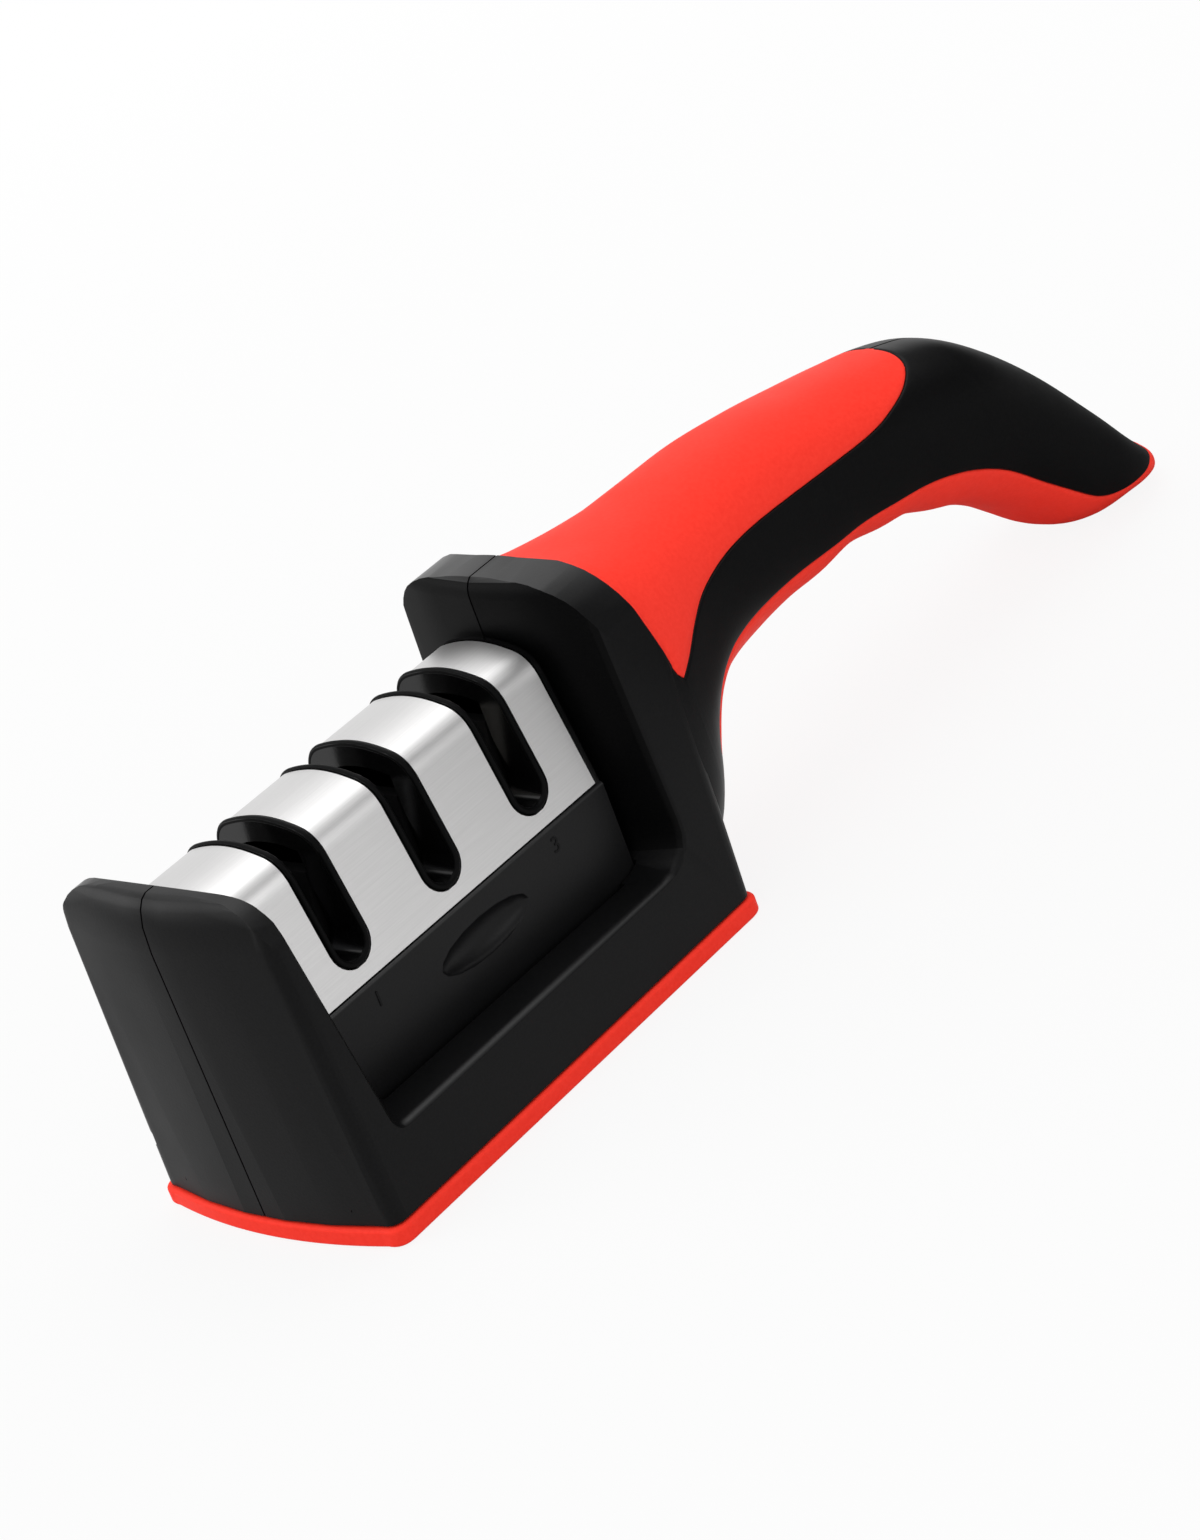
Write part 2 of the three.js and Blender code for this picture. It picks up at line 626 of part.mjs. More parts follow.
const liners = slots.map((x) => slot(x, rim_half, rim_end).intersect(upper_body).subtract(middle_room));
function cap_post(x, y) {
  const reach = Math.sign(y) * (cartridge_half_width - 1);
  const rib = box(x - 1, x + 1, Math.min(y, reach), Math.max(y, reach), post_floor, post_top);
  return bar_z(screw_shaft + gap + 1, x, y, post_floor, post_top, 10).add(rib);
}
const cap_posts = cartridge_posts.map(([x, y]) => cap_post(x, y));
const cap_holes = cartridge_posts.map(([x, y]) => bar_z(screw_shaft + gap, x, y, post_floor - 1, 18.5, 10));
const cap_slots = slots.map((x) => slot(x, slot_half_width, void_end));
const cap_cuts = [...cap_holes, ...cap_slots, dimple(1), dimple(-1)];
piece('cartridge_body', cut(join([cap, ...liners, ...cap_posts]), cap_cuts),
  black_plastic());

// Steel cover: bent sheet with three open slots.
const sheet = cartridge_run(cover_shape(0, cover_bottom), slide_gap + 0.8, cover_rear)
  .subtract(cartridge_run(cover_shape(cover_thickness, cover_bottom - 2), -2, cover_rear + 2));
piece('steel_cover', cut(sheet, slots.map((x) => slot(x, steel_half, slot_end))), steel());

// Floor of the cartridge, with its four screws from below.
const floor_front = tower_face(cartridge_bottom) + slide_gap + body_wall + gap;
const floor_half = inner_half - gap;
const floor_top = cartridge_bottom + floor_thickness;
const floor_plate = box(floor_front, cartridge_rear - body_wall - gap, -floor_half, floor_half,
  cartridge_bottom, floor_top);
const screw_seat = cartridge_bottom + screw_head_height + gap;
const floor_holes = cartridge_posts.map(([x, y]) => bar_z(screw_shaft + gap, x, y, 0, 20, 10)
  .add(bar_z(screw_head + gap, x, y, 0, screw_seat + gap, 10)));
piece('cartridge_floor', cut(floor_plate, floor_holes), black_plastic());
const floor_screw = screw(cartridge_screw_length).rotate([180, 0, 0]);
cartridge_posts.forEach(([x, y], i) => {
  piece(`cartridge_screw_${i + 1}`, floor_screw.translate(x, y, screw_seat), zinc());
});

// Stage holders and the crossed abrasives that stand in their notches.
function tilted(form, x, side) {
  const angle = side * THREE.MathUtils.radToDeg(abrasive_tilt);
  return form.rotate([0, angle, 0]).translate(x, side * abrasive_offset, cross_height);
}
function rod(grow) {
  const half = abrasive_length / 2 + grow;
  return bar_z(rod_radius + grow, 0, 0, -half, half, 14);
}
function blade(grow) {
  const half = abrasive_length / 2 + grow;
  const wide = blade_width / 2 + grow;
  const thick = blade_thickness / 2 + grow;
  return box(-wide, wide, -thick, thick, -half, half);
}
function holder(x, abrasive) {
  const long = holder_length / 2;
  const deep = holder_depth / 2;
  const foot = floor_top + gap;
  const block = box(x - long, x + long, -deep, deep, foot + holder_foot_height, holder_top)
    .add(box(x - holder_foot / 2, x + holder_foot / 2, -deep, deep, foot, foot + holder_foot_height + 1));
  const notch = along_y(polygon([[x - notch_bottom_half, notch_bottom], [x + notch_bottom_half, notch_bottom],
    [x + notch_top_half, holder_top + 1], [x - notch_top_half, holder_top + 1]]), -far, far);
  return cut(block, [notch, tilted(abrasive(gap), x, 1), tilted(abrasive(gap), x, -1)]);
}
const stages = [
  { name: 'coarse', abrasive: blade, part: 'carbide_blade', look: () => material(0x66686e, 0.4, 0.8) },
  { name: 'medium', abrasive: rod, part: 'diamond_rod', look: () => material(0x8d9094, 0.8, 0.5) },
  { name: 'fine', abrasive: rod, part: 'ceramic_rod', look: () => material(0xeee9df, 0.7, 0) },
];
stages.forEach((stage, i) => {
  const x = slots[i];
  piece(`${stage.name}_holder`, holder(x, stage.abrasive), black_plastic());
  piece(`${stage.part}_left`, tilted(stage.abrasive(0), x, 1), stage.look());
  piece(`${stage.part}_right`, tilted(stage.abrasive(0), x, -1), stage.look());
});

export default group;
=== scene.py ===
# %% [markdown]
# # A hand-held knife sharpener
# The real object is a moulded black housing with a handle, red rubber where a
# hand or a table touches it, and a cartridge with three slots under a bent
# steel cover. The imported solids give every size. This lesson puts finished
# surfaces on them: soft moulded edges, a real bent sheet, lips, screws and
# materials. It loads the solids first.

# %% Load the solids
import math

import bmesh
import bpy
import numpy as np
from mathutils import Matrix, Vector
from mathutils.geometry import delaunay_2d_cdt
from mathutils.kdtree import KDTree


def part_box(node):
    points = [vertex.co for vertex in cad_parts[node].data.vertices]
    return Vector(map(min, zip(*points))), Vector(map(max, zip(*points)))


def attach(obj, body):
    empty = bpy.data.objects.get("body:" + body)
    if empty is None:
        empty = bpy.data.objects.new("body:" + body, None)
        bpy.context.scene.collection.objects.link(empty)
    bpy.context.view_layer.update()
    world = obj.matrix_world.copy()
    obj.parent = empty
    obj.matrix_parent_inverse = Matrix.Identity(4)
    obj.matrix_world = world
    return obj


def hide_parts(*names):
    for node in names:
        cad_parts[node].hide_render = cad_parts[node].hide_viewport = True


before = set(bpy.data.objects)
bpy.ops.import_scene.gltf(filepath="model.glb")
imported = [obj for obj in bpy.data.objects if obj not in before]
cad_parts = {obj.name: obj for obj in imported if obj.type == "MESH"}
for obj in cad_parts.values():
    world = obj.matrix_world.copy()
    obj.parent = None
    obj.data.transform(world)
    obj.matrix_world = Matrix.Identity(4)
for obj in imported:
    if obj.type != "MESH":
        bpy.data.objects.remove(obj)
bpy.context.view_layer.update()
mm = 0.001
scene = bpy.context.scene

# %% [markdown]
# ## Camera
# A product camera stands well back with a long lens, so that straight edges
# stay nearly parallel. It could be aimed with a Track To constraint, but the
# picture is also tipped sideways, so its axes are written out: one vector to
# the right, one up, and one from the target back to the lens.

# %% Camera
view_turn = math.radians(-40.71)
view_rise = math.radians(25.26)
view_tip = math.radians(20.73)
view_target = Vector((39.83, -1.26, 23.0)) * mm
view_distance = 0.7
image_height = 1540
focal_pixels = 4835.5


def in_scene(name, data):
    """A new object in the scene."""
    made = bpy.data.objects.new(name, data)
    scene.collection.objects.link(made)
    return made


back = Vector((math.sin(view_turn) * math.cos(view_rise),
               -math.cos(view_turn) * math.cos(view_rise), math.sin(view_rise)))
level_right = Vector((math.cos(view_turn), math.sin(view_turn), 0))
level_up = back.cross(level_right)
right = math.cos(view_tip) * level_right - math.sin(view_tip) * level_up
up = math.sin(view_tip) * level_right + math.cos(view_tip) * level_up

lens = bpy.data.cameras.new("product_camera")
lens.sensor_width = 36
lens.lens = focal_pixels / image_height * lens.sensor_width
lens.clip_start = 0.01
camera = in_scene("product_camera", lens)
camera.matrix_world = Matrix.Translation(view_target + back * view_distance) @ Matrix(
    (right, up, back)).transposed().to_4x4()
scene.camera = camera
scene.view_settings.view_transform = "Standard"
print("lens", round(lens.lens, 1), "mm, camera at", [round(v, 3) for v in camera.location])

# %% [markdown]
# ## Light and floor
# The picture has a white sweep, strong soft boxes above and on the left, and
# weak ones in front and on the right. White comes from what the camera, the
# gloss and the glass see of the world, while a lower level lights the object,
# so a colour renders about as it is written. The floor does the same near by,
# and it still takes the soft shadow. Black plastic mirrors the whole room, so
# dark cards that only gloss sees stand on the right and lie under the handle.
# They cast no shadow and light nothing, so they are painted shade in the
# reflections, and the grey ones under the handle paint the floor's shadow there.


# %% Node helpers
def feed(node, inputs):
    """Sets each input of a node to a value, or links it to another node's output."""
    for socket, value in inputs.items():
        if isinstance(value, bpy.types.NodeSocket):
            node.id_data.links.new(value, node.inputs[socket])
        else:
            node.inputs[socket].default_value = value


def add_node(tree, kind, inputs=None, **settings):
    """A new node in a tree, with its settings and its inputs."""
    node = tree.nodes.new(kind)
    for name, value in settings.items():
        setattr(node, name, value)
    feed(node, inputs or {})
    return node


def seen_directly(tree):
    """1 for rays that show the background: from the lens, off gloss or through glass."""
    path = add_node(tree, "ShaderNodeLightPath").outputs
    first = add_node(tree, "ShaderNodeMath", {
        0: path["Is Camera Ray"], 1: path["Is Glossy Ray"]}, operation="MAXIMUM")
    both = add_node(tree, "ShaderNodeMath", {
        0: first.outputs[0], 1: path["Is Transmission Ray"]}, operation="MAXIMUM")
    return both.outputs[0]


# %% World
white = (1, 1, 1, 1)
room_strength = 0.7
world = bpy.data.worlds.new("white_studio")
scene.world = world
world.use_nodes = True
tree = world.node_tree
tree.nodes.clear()
room_light = add_node(tree, "ShaderNodeBackground", {"Color": white, "Strength": room_strength})
seen_white = add_node(tree, "ShaderNodeBackground", {"Color": white})
pick = add_node(tree, "ShaderNodeMixShader", {
    0: seen_directly(tree), 1: room_light.outputs[0], 2: seen_white.outputs[0]})
add_node(tree, "ShaderNodeOutputWorld", {"Surface": pick.outputs[0]})
print("world: room light", room_strength)


# %% Floor
def stage_sheet(name, low, high, material):
    """A flat rectangle of the stage between two opposite corners."""
    first, second = [axis for axis in range(3) if low[axis] != high[axis]]
    corners = [list(low) for _ in range(4)]
    corners[1][first] = corners[2][first] = high[first]
    corners[2][second] = corners[3][second] = high[second]
    mesh = bpy.data.meshes.new(name)
    mesh.from_pydata(corners, [], [(0, 1, 2, 3)])
    mesh.materials.append(material)
    sheet = in_scene(name, mesh)
    return sheet


floor_half, paper_tone = 1.5, 0.65
sweep_start, sweep_end, sweep_low = 0.1, 0.55, 0.88
pale = bpy.data.materials.new("pale_floor")
pale.use_nodes = True
tree = pale.node_tree
tree.nodes.clear()
paper = add_node(tree, "ShaderNodeBsdfDiffuse", {"Color": (paper_tone, paper_tone, paper_tone, 1)})
glow = add_node(tree, "ShaderNodeEmission", {"Color": white})
place = add_node(tree, "ShaderNodeTexCoord")
distance = add_node(tree, "ShaderNodeVectorMath", {0: place.outputs["Object"]}, operation="LENGTH")
sweep = add_node(tree, "ShaderNodeMapRange", {
    "Value": distance.outputs["Value"], "From Min": sweep_start, "From Max": sweep_end,
    "To Min": sweep_low})
share = add_node(tree, "ShaderNodeMath", {
    0: sweep.outputs[0], 1: seen_directly(tree)}, operation="MULTIPLY")
floor_mix = add_node(tree, "ShaderNodeMixShader", {
    0: share.outputs[0], 1: paper.outputs[0], 2: glow.outputs[0]})
add_node(tree, "ShaderNodeOutputMaterial", {"Surface": floor_mix.outputs[0]})
stage_sheet("floor", (-floor_half, -floor_half, 0), (floor_half, floor_half, 0), pale)
print("floor", 2 * floor_half, "m wide")

# %% Soft boxes
studio_middle = Vector((0.06, 0, 0.03))
soft_boxes = {
    "overhead_box": ((0.1, 0.15, 0.9), (1.0, 0.7), 3.9),
    "left_box": ((-0.55, 0.62, 0.38), (0.6, 0.5), 2.4),
    "front_box": ((-0.75, -0.35, 0.5), (0.5, 0.4), 0.7),
    "right_box": ((0.25, -0.85, 0.3), (0.5, 0.4), 0.9)}
for name, (place, size, power) in soft_boxes.items():
    lamp = bpy.data.lights.new(name, "AREA")
    lamp.shape = "RECTANGLE"
    lamp.size, lamp.size_y = size
    lamp.energy = power
    box = in_scene(name, lamp)
    box.location = place
    box.rotation_euler = (studio_middle - Vector(place)).to_track_quat("-Z", "Y").to_euler()
print("soft boxes:", *soft_boxes)


# %% Dark cards of painted shade in reflections
def new_material(name, color, roughness, metallic=0.0, specular=0.5):
    """A Principled material, its tree and its shader, with its constant values set."""
    made = bpy.data.materials.new(name)
    made.use_nodes = True
    shader = made.node_tree.nodes["Principled BSDF"]
    feed(shader, {"Base Color": (*color, 1), "Roughness": roughness, "Metallic": metallic,
                  "Specular IOR Level": specular})
    made.diffuse_color = (*color, 1)
    return made, made.node_tree, shader


# Sheets seen only by gloss, with no shadow and no light: painted shade in reflections. The grey ones on
# the floor paint its shadow there.
painted_shade_tone, painted_floor_shadow_tone = 0.02, 0.16
painted_shade_cards = {
    "right_card": ((0.28, -0.4, 0.0), (0.95, -0.4, 0.5), painted_shade_tone),
    "end_card": ((0.75, -0.5, 0.0), (0.75, 0.35, 0.42), painted_shade_tone),
    "low_card": ((0.1, -0.14, 0.001), (0.5, 0.12, 0.001), painted_floor_shadow_tone),
    "side_card": ((0.17, -0.36, 0.001), (0.5, -0.14, 0.001), painted_floor_shadow_tone)}
for name, (low, high, tone) in painted_shade_cards.items():
    card = stage_sheet(name, low, high, new_material(name, (tone, tone, tone), roughness=1.0)[0])
    card.visible_camera = card.visible_diffuse = False
    card.visible_shadow = card.visible_transmission = False
print("dark cards:", *painted_shade_cards)

# %% [markdown]
# ## Shared surface effects
# Moulded plastic and rubber share a fine grain from the mould and slow changes
# of gloss where hands and cloths have been. The black plastics shine more where
# they are rubbed, and the metals have fine lines. Each of the four is a node
# group, built once and given its own values in each material. Image textures
# could do this too, but noise in the object's own coordinates needs no files
# and has no seams.


# %% Group builder
def new_group(name, inputs, outputs):
    """An empty shader group with named sockets, and what it is given."""
    tree = bpy.data.node_groups.new(name, "ShaderNodeTree")
    for label, value in inputs.items():
        kind = "NodeSocketVector" if isinstance(value, tuple) else "NodeSocketFloat"
        tree.interface.new_socket(label, in_out="INPUT", socket_type=kind).default_value = value
    for label, kind in outputs.items():
        tree.interface.new_socket(label, in_out="OUTPUT", socket_type=kind)
    return tree, add_node(tree, "NodeGroupInput").outputs


def bumped_noise(tree, place, scale, detail, depth, strength):
    """Noise at a place, as a value and as a bump of a depth."""
    noise = add_node(tree, "ShaderNodeTexNoise", {"Vector": place, "Scale": scale, "Detail": detail})
    bump = add_node(tree, "ShaderNodeBump", {
        "Strength": strength, "Distance": depth * mm, "Height": noise.outputs["Fac"]})
    return noise.outputs["Fac"], bump.outputs["Normal"]


# %% Moulded grain
grain_detail, grain_depth = 3.0, 0.05
grain, given = new_group("moulded_grain", {"Fineness": 2600.0, "Depth": 0.04},
                         {"Height": "NodeSocketFloat", "Normal": "NodeSocketVector"})
coords = add_node(grain, "ShaderNodeTexCoord")
height, normal = bumped_noise(grain, coords.outputs["Object"], given["Fineness"], grain_detail,
                              grain_depth, given["Depth"])
add_node(grain, "NodeGroupOutput", {"Height": height, "Normal": normal})
print("group:", grain.name)

# %% Handled gloss
patch_detail, patch_low, patch_high = 4.0, 0.3, 0.7
handled, given = new_group("handled_gloss", {"Patch size": 55.0, "Lowest": 0.4, "Highest": 0.5},
                           {"Roughness": "NodeSocketFloat"})
coords = add_node(handled, "ShaderNodeTexCoord")
patches = add_node(handled, "ShaderNodeTexNoise", {
    "Vector": coords.outputs["Object"], "Scale": given["Patch size"], "Detail": patch_detail})
spread = add_node(handled, "ShaderNodeMapRange", {
    "Value": patches.outputs["Fac"], "From Min": patch_low, "From Max": patch_high,
    "To Min": given["Lowest"], "To Max": given["Highest"]})
add_node(handled, "NodeGroupOutput", {"Roughness": spread.outputs[0]})
print("group:", handled.name)

# %% Rubbed shine
shine, given = new_group("rubbed_shine", {"Most": 0.5}, {"Coat": "NodeSocketFloat"})
rubbed = add_node(shine, "ShaderNodeAttribute", attribute_name="rubbed")
coat = add_node(shine, "ShaderNodeMath", {
    0: rubbed.outputs["Fac"], 1: given["Most"]}, operation="MULTIPLY")
add_node(shine, "NodeGroupOutput", {"Coat": coat.outputs[0]})
print("group:", shine.name)

# %% Brushed lines
line_detail, line_depth = 4.0, 0.02
fine_lines, given = new_group("brushed_lines", {"Stretch": (120.0, 5200.0, 5200.0), "Depth": 0.25},
                              {"Lines": "NodeSocketFloat", "Normal": "NodeSocketVector"})
coords = add_node(fine_lines, "ShaderNodeTexCoord")
squeeze = add_node(fine_lines, "ShaderNodeMapping", {
    "Vector": coords.outputs["Object"], "Scale": given["Stretch"]})
height, normal = bumped_noise(fine_lines, squeeze.outputs["Vector"], 1.0, line_detail,
                              line_depth, given["Depth"])
add_node(fine_lines, "NodeGroupOutput", {"Lines": height, "Normal": normal})
print("group:", fine_lines.name)

# %% [markdown]
# ## Materials
# The black is a satin plastic that looks nearly black where it faces away from
# the soft boxes. The red is a soft rubber skin. The cover is stainless sheet
# with fine brushing along its length. Every material is one Principled shader
# fed by the groups, and what is the same all over is set on its own socket.


# %% Material helpers
def place_group(tree, group, **values):
    """A group in a material, with its own values; gives its outputs."""
    inputs = {label.replace("_", " "): value for label, value in values.items()}
    return add_node(tree, "ShaderNodeGroup", inputs, node_tree=group).outputs


ramp_low, ramp_high = 0.3, 0.7


def tint(tree, factor, low, high):
    """A colour between two tones, by a varying value."""
    ramp = add_node(tree, "ShaderNodeValToRGB", {"Fac": factor})
    stops = ramp.color_ramp.elements
    stops[0].position, stops[1].position = ramp_low, ramp_high
    stops[0].color, stops[1].color = (*low, 1), (*high, 1)
    return ramp.outputs["Color"]


# %% Plastics and rubber
def moulded(name, low, high, fineness, depth, gloss, specular, rubbed=0.0):
    """A moulded finish: grain in colour and bump, slow change of gloss, a coat where rubbed."""
    made, tree, shader = new_material(name, high, gloss[1], specular=specular)
    skin = place_group(tree, grain, Fineness=fineness, Depth=depth)
    touch = place_group(tree, handled, Lowest=gloss[0], Highest=gloss[1])
    feed(shader, {"Base Color": tint(tree, skin["Height"], low, high),
                  "Normal": skin["Normal"], "Roughness": touch["Roughness"]})
    if rubbed:
        feed(shader, {"Coat Weight": place_group(tree, shine, Most=rubbed)["Coat"],
                      "Coat Roughness": (gloss[0] + gloss[1]) / 2})
    return made


black_plastic = moulded(
    "satin_black_plastic", (0.0028, 0.0028, 0.003), (0.0045, 0.0045, 0.0048),
    fineness=2600, depth=0.25, gloss=(0.34, 0.44), specular=0.09, rubbed=0.54)
cartridge_plastic = moulded(
    "cartridge_black_plastic", (0.004, 0.004, 0.0042), (0.006, 0.006, 0.0064),
    fineness=2600, depth=0.25, gloss=(0.34, 0.44), specular=0.14, rubbed=0.62)
inner_plastic = moulded(
    "matt_black_plastic", (0.003, 0.003, 0.0032), (0.005, 0.005, 0.0053),
    fineness=2200, depth=0.3, gloss=(0.5, 0.6), specular=0.1)
# Darker and duller than the shells' plastic: painted shade on the pocket's faces. The slot lips use it
# too.
painted_shade_plastic = moulded(
    "painted_shade_black_plastic", (0.0012, 0.0012, 0.0013), (0.002, 0.002, 0.0021),
    fineness=2600, depth=0.25, gloss=(0.42, 0.5), specular=0.05)
# Darker than the cartridge plastic: painted shade inside the slots. Its higher gloss catches the real
# glint of the lamps.
painted_slot_shade_plastic = moulded(
    "glossy_black_plastic_with_painted_slot_shade", (0.0016, 0.0016, 0.0017), (0.0026, 0.0026, 0.0028),
    fineness=2600, depth=0.12, gloss=(0.13, 0.19), specular=0.3)
red_rubber = moulded(
    "red_rubber", (0.96, 0.034, 0.018), (1.0, 0.043, 0.024),
    fineness=1500, depth=0.35, gloss=(0.5, 0.62), specular=0.12)
white_ceramic = moulded(
    "white_ceramic", (0.74, 0.71, 0.65), (0.82, 0.79, 0.73),
    fineness=3000, depth=0.25, gloss=(0.45, 0.6), specular=0.4)
print("moulded:", black_plastic.name, inner_plastic.name, red_rubber.name, white_ceramic.name)

# %% Metals
metal_patch, line_tone = 40.0, 0.93


def brushed(name, color, gloss, stretch, depth):
    """A metal with fine lines: noise squeezed along one axis."""
    made, tree, shader = new_material(name, color, gloss[1], metallic=1.0)
    lines = place_group(tree, fine_lines, Stretch=stretch, Depth=depth)
    touch = place_group(tree, handled, Patch_size=metal_patch, Lowest=gloss[0], Highest=gloss[1])
    dark = [line_tone * c for c in color]
    feed(shader, {"Base Color": tint(tree, lines["Lines"], dark, color),
                  "Normal": lines["Normal"], "Roughness": touch["Roughness"]})
    return made


cover_steel = brushed("brushed_stainless", (0.645, 0.64, 0.638), gloss=(0.33, 0.41),
                      stretch=(120, 5200, 5200), depth=0.25)
screw_steel = brushed("zinc_plated_steel", (0.62, 0.63, 0.64), gloss=(0.25, 0.38),
                      stretch=(1500, 1500, 1500), depth=0.15)
carbide = brushed("ground_carbide", (0.30, 0.305, 0.32), gloss=(0.3, 0.42),
                  stretch=(2500, 2500, 200), depth=0.3)
diamond_steel, tree, shader = new_material(
    "diamond_coated_steel", (0.36, 0.365, 0.375), roughness=0.6, metallic=0.8)
grit = place_group(tree, grain, Fineness=5200.0, Depth=0.9)
feed(shader, {"Base Color": tint(tree, grit["Height"], (0.22, 0.225, 0.23), (0.52, 0.525, 0.53)),
              "Normal": grit["Normal"]})
print("metals:", cover_steel.name, screw_steel.name, carbide.name, diamond_steel.name)

# %% [markdown]
# ## Moulded pieces
# The cartridge body, its holders and floor and the fronts of the shells are
# moulded, so their faces run smoothly into each other and only true corners
# show an edge. Each is a copy of its solid: the loose triangles are merged,
# flat ones are joined, and the rest is shaded smooth. Modelling them anew would
# give the same form, with more to go wrong. The long edge of the cartridge body
# under the steel also gets a small round, which catches the light.


# %% Mesh helpers
def mesh_of(form, name):
    """A form as a mesh; the form is used up."""
    mesh = bpy.data.meshes.new(name)
    form.to_mesh(mesh)
    form.free()
    return mesh


def form_of(mesh):
    """A mesh as a form to edit."""
    form = bmesh.new()
    form.from_mesh(mesh)
    return form


def plain_mesh(work):
    """An object's mesh after its modifiers; the object is used up."""
    mesh = bpy.data.meshes.new_from_object(work.evaluated_get(bpy.context.evaluated_depsgraph_get()))
    bpy.data.objects.remove(work)
    return mesh


def with_modifier(mesh, kind, **values):
    """A mesh after one modifier."""
    work = in_scene("work", mesh)
    modifier = work.modifiers.new("work", kind)
    for key, value in values.items():
        setattr(modifier, key, value)
    return plain_mesh(work)


def shade(form, angle):
    """Smooth faces, with the edges past an angle kept sharp."""
    for face in form.faces:
        face.smooth = True
    for edge in form.edges:
        edge.smooth = len(edge.link_faces) == 2 and edge.calc_face_angle(0) < angle


def evened(mesh, name):
    """The mesh again with its normals weighted by the size of its faces."""
    done = with_modifier(mesh, "WEIGHTED_NORMAL", keep_sharp=True)
    done.name = name
    return done


def link_mesh(name, mesh, body, material, slot, *replaced):
    """A finished mesh as a piece: in the scene, on its body, with its finish."""
    made = in_scene(name, mesh)
    mesh.materials.clear()
    mesh.materials.append(material)
    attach(made, body)
    if replaced:
        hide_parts(*replaced)
    print(name, len(mesh.polygons), "faces")
    return made


# %% Copies of solids
merge_distance = 0.002 * mm
flat_angle = math.radians(1.0)
sharp_angle = math.radians(32)
rim_round, rim_segments = 0.55, 3


def merged_copy(node):
    """A node's triangles as one closed form."""
    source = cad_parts[node].data
    form = bmesh.new()
    corners = [form.verts.new(v.co) for v in source.vertices]
    for face in source.polygons:
        form.faces.new([corners[i] for i in face.vertices])
    bmesh.ops.remove_doubles(form, verts=form.verts, dist=merge_distance)
    bmesh.ops.dissolve_degenerate(form, edges=form.edges, dist=merge_distance)
    return form


def joined_flats(form):
    """Joins the flat triangles of a form and shades the rest smooth."""
    bmesh.ops.dissolve_limit(form, angle_limit=flat_angle, verts=form.verts, edges=form.edges)
    shade(form, sharp_angle)


def moulded_piece(node, body, material, slot, rim=None):
    """A copy of a solid, with a small round on the edges that a rule picks."""
    form = merged_copy(node)
    joined_flats(form)
    if rim:
        edges = [e for e in form.edges if all(rim(v.co / mm) for v in e.verts)]
        bmesh.ops.bevel(form, geom=edges, offset=rim_round * mm, offset_type="OFFSET",
                        segments=rim_segments, profile=0.5, affect="EDGES")
        shade(form, sharp_angle)
    name = node + "_form"
    return link_mesh("finished_" + node, evened(mesh_of(form, name), name), body, material, slot, node)


def mark_rubbed(mesh, rule):
    """How far each point of a mesh is rubbed, for the plastic to read."""
    shares = [rule(v.co / mm, v.normal) for v in mesh.vertices]
    mesh.attributes.new("rubbed", "FLOAT", "POINT").data.foreach_set("value", shares)


# %% Cartridge body
slot_liner_foot, cartridge_half, shoulder_height = 30.0, 13.8, 29.2
shoulder_slack, shoulder_slope = 0.05, (0.3, 0.95)


def on_shoulder(p):
    """True on the long edge just under the steel."""
    return (abs(p.z - shoulder_height) < shoulder_slack
            and abs(abs(p.y) - cartridge_half) < shoulder_slack)


def shoulder_rub(p, normal):
    """1 on the round of that edge."""
    low, high = shoulder_slope
    return float(shoulder_height - rim_round < p.z < shoulder_height and low < normal.z < high)


body = moulded_piece("cartridge_body", "cartridge", cartridge_plastic, "black_plastic", on_shoulder)
# Faces inside the slots take the darker, glossier plastic: painted shade in the slots.
body.data.materials.append(painted_slot_shade_plastic)
for face in body.data.polygons:
    if face.center.z > slot_liner_foot * mm:
        face.material_index = 1
mark_rubbed(body.data, shoulder_rub)

# %% [markdown]
# ## Base pad
# A red rubber pad keeps the tool from sliding. It has the outline of the foot:
# bulged ends, tapering sides and rounded corners, with a soft edge above and
# below. A copy of the solid would show its straight steps against the white
# floor, so the outline is drawn again with more points and stacked in levels.

# %% Pad outline
base_half, base_front_half, base_rear_half, base_corner = 42.0, 23.9, 22.3, 2.8
front_bulge, rear_bulge, pad_thickness, pad_edge = 2.49, 1.6, 2.9, 0.6
corner_points, end_points, edge_levels = 10, 40, 6


def bow(a, b, c, count):
    """Points on a quadratic curve, without its first."""
    steps = [i / count for i in range(1, count + 1)]
    return [tuple((1 - t) ** 2 * p + 2 * t * (1 - t) * q + t * t * r for p, q, r in zip(a, b, c))
            for t in steps]


def base_side(x):
    """Half width of the base at a place along it."""
    return base_front_half + (base_rear_half - base_front_half) * (x + base_half) / (2 * base_half)


def end_outline(x, bulge, inward):
    """One bulged end with its two corners, from the right side to the left."""
    near, wide = x + inward * base_corner, base_side(x)
    flank, flat = base_side(near), wide - base_corner
    return ([(near, -flank)] + bow((near, -flank), (x, -wide), (x, -flat), corner_points)
            + bow((x, -flat), (x - 2 * inward * bulge, 0), (x, flat), end_points)
            + bow((x, flat), (x, wide), (near, flank), corner_points))


pad_outline = end_outline(-base_half, front_bulge, 1)[::-1] + end_outline(base_half, rear_bulge, -1)
edge_turn = np.linspace(0, math.pi / 2, edge_levels)
soft_edge = [(pad_edge * (1 - math.cos(a)), pad_edge * (1 - math.sin(a))) for a in edge_turn]
pad_levels = soft_edge + [(pad_thickness - z, inset) for z, inset in soft_edge[::-1]]
print("pad:", len(pad_outline), "points round its edge,", len(pad_levels), "levels")

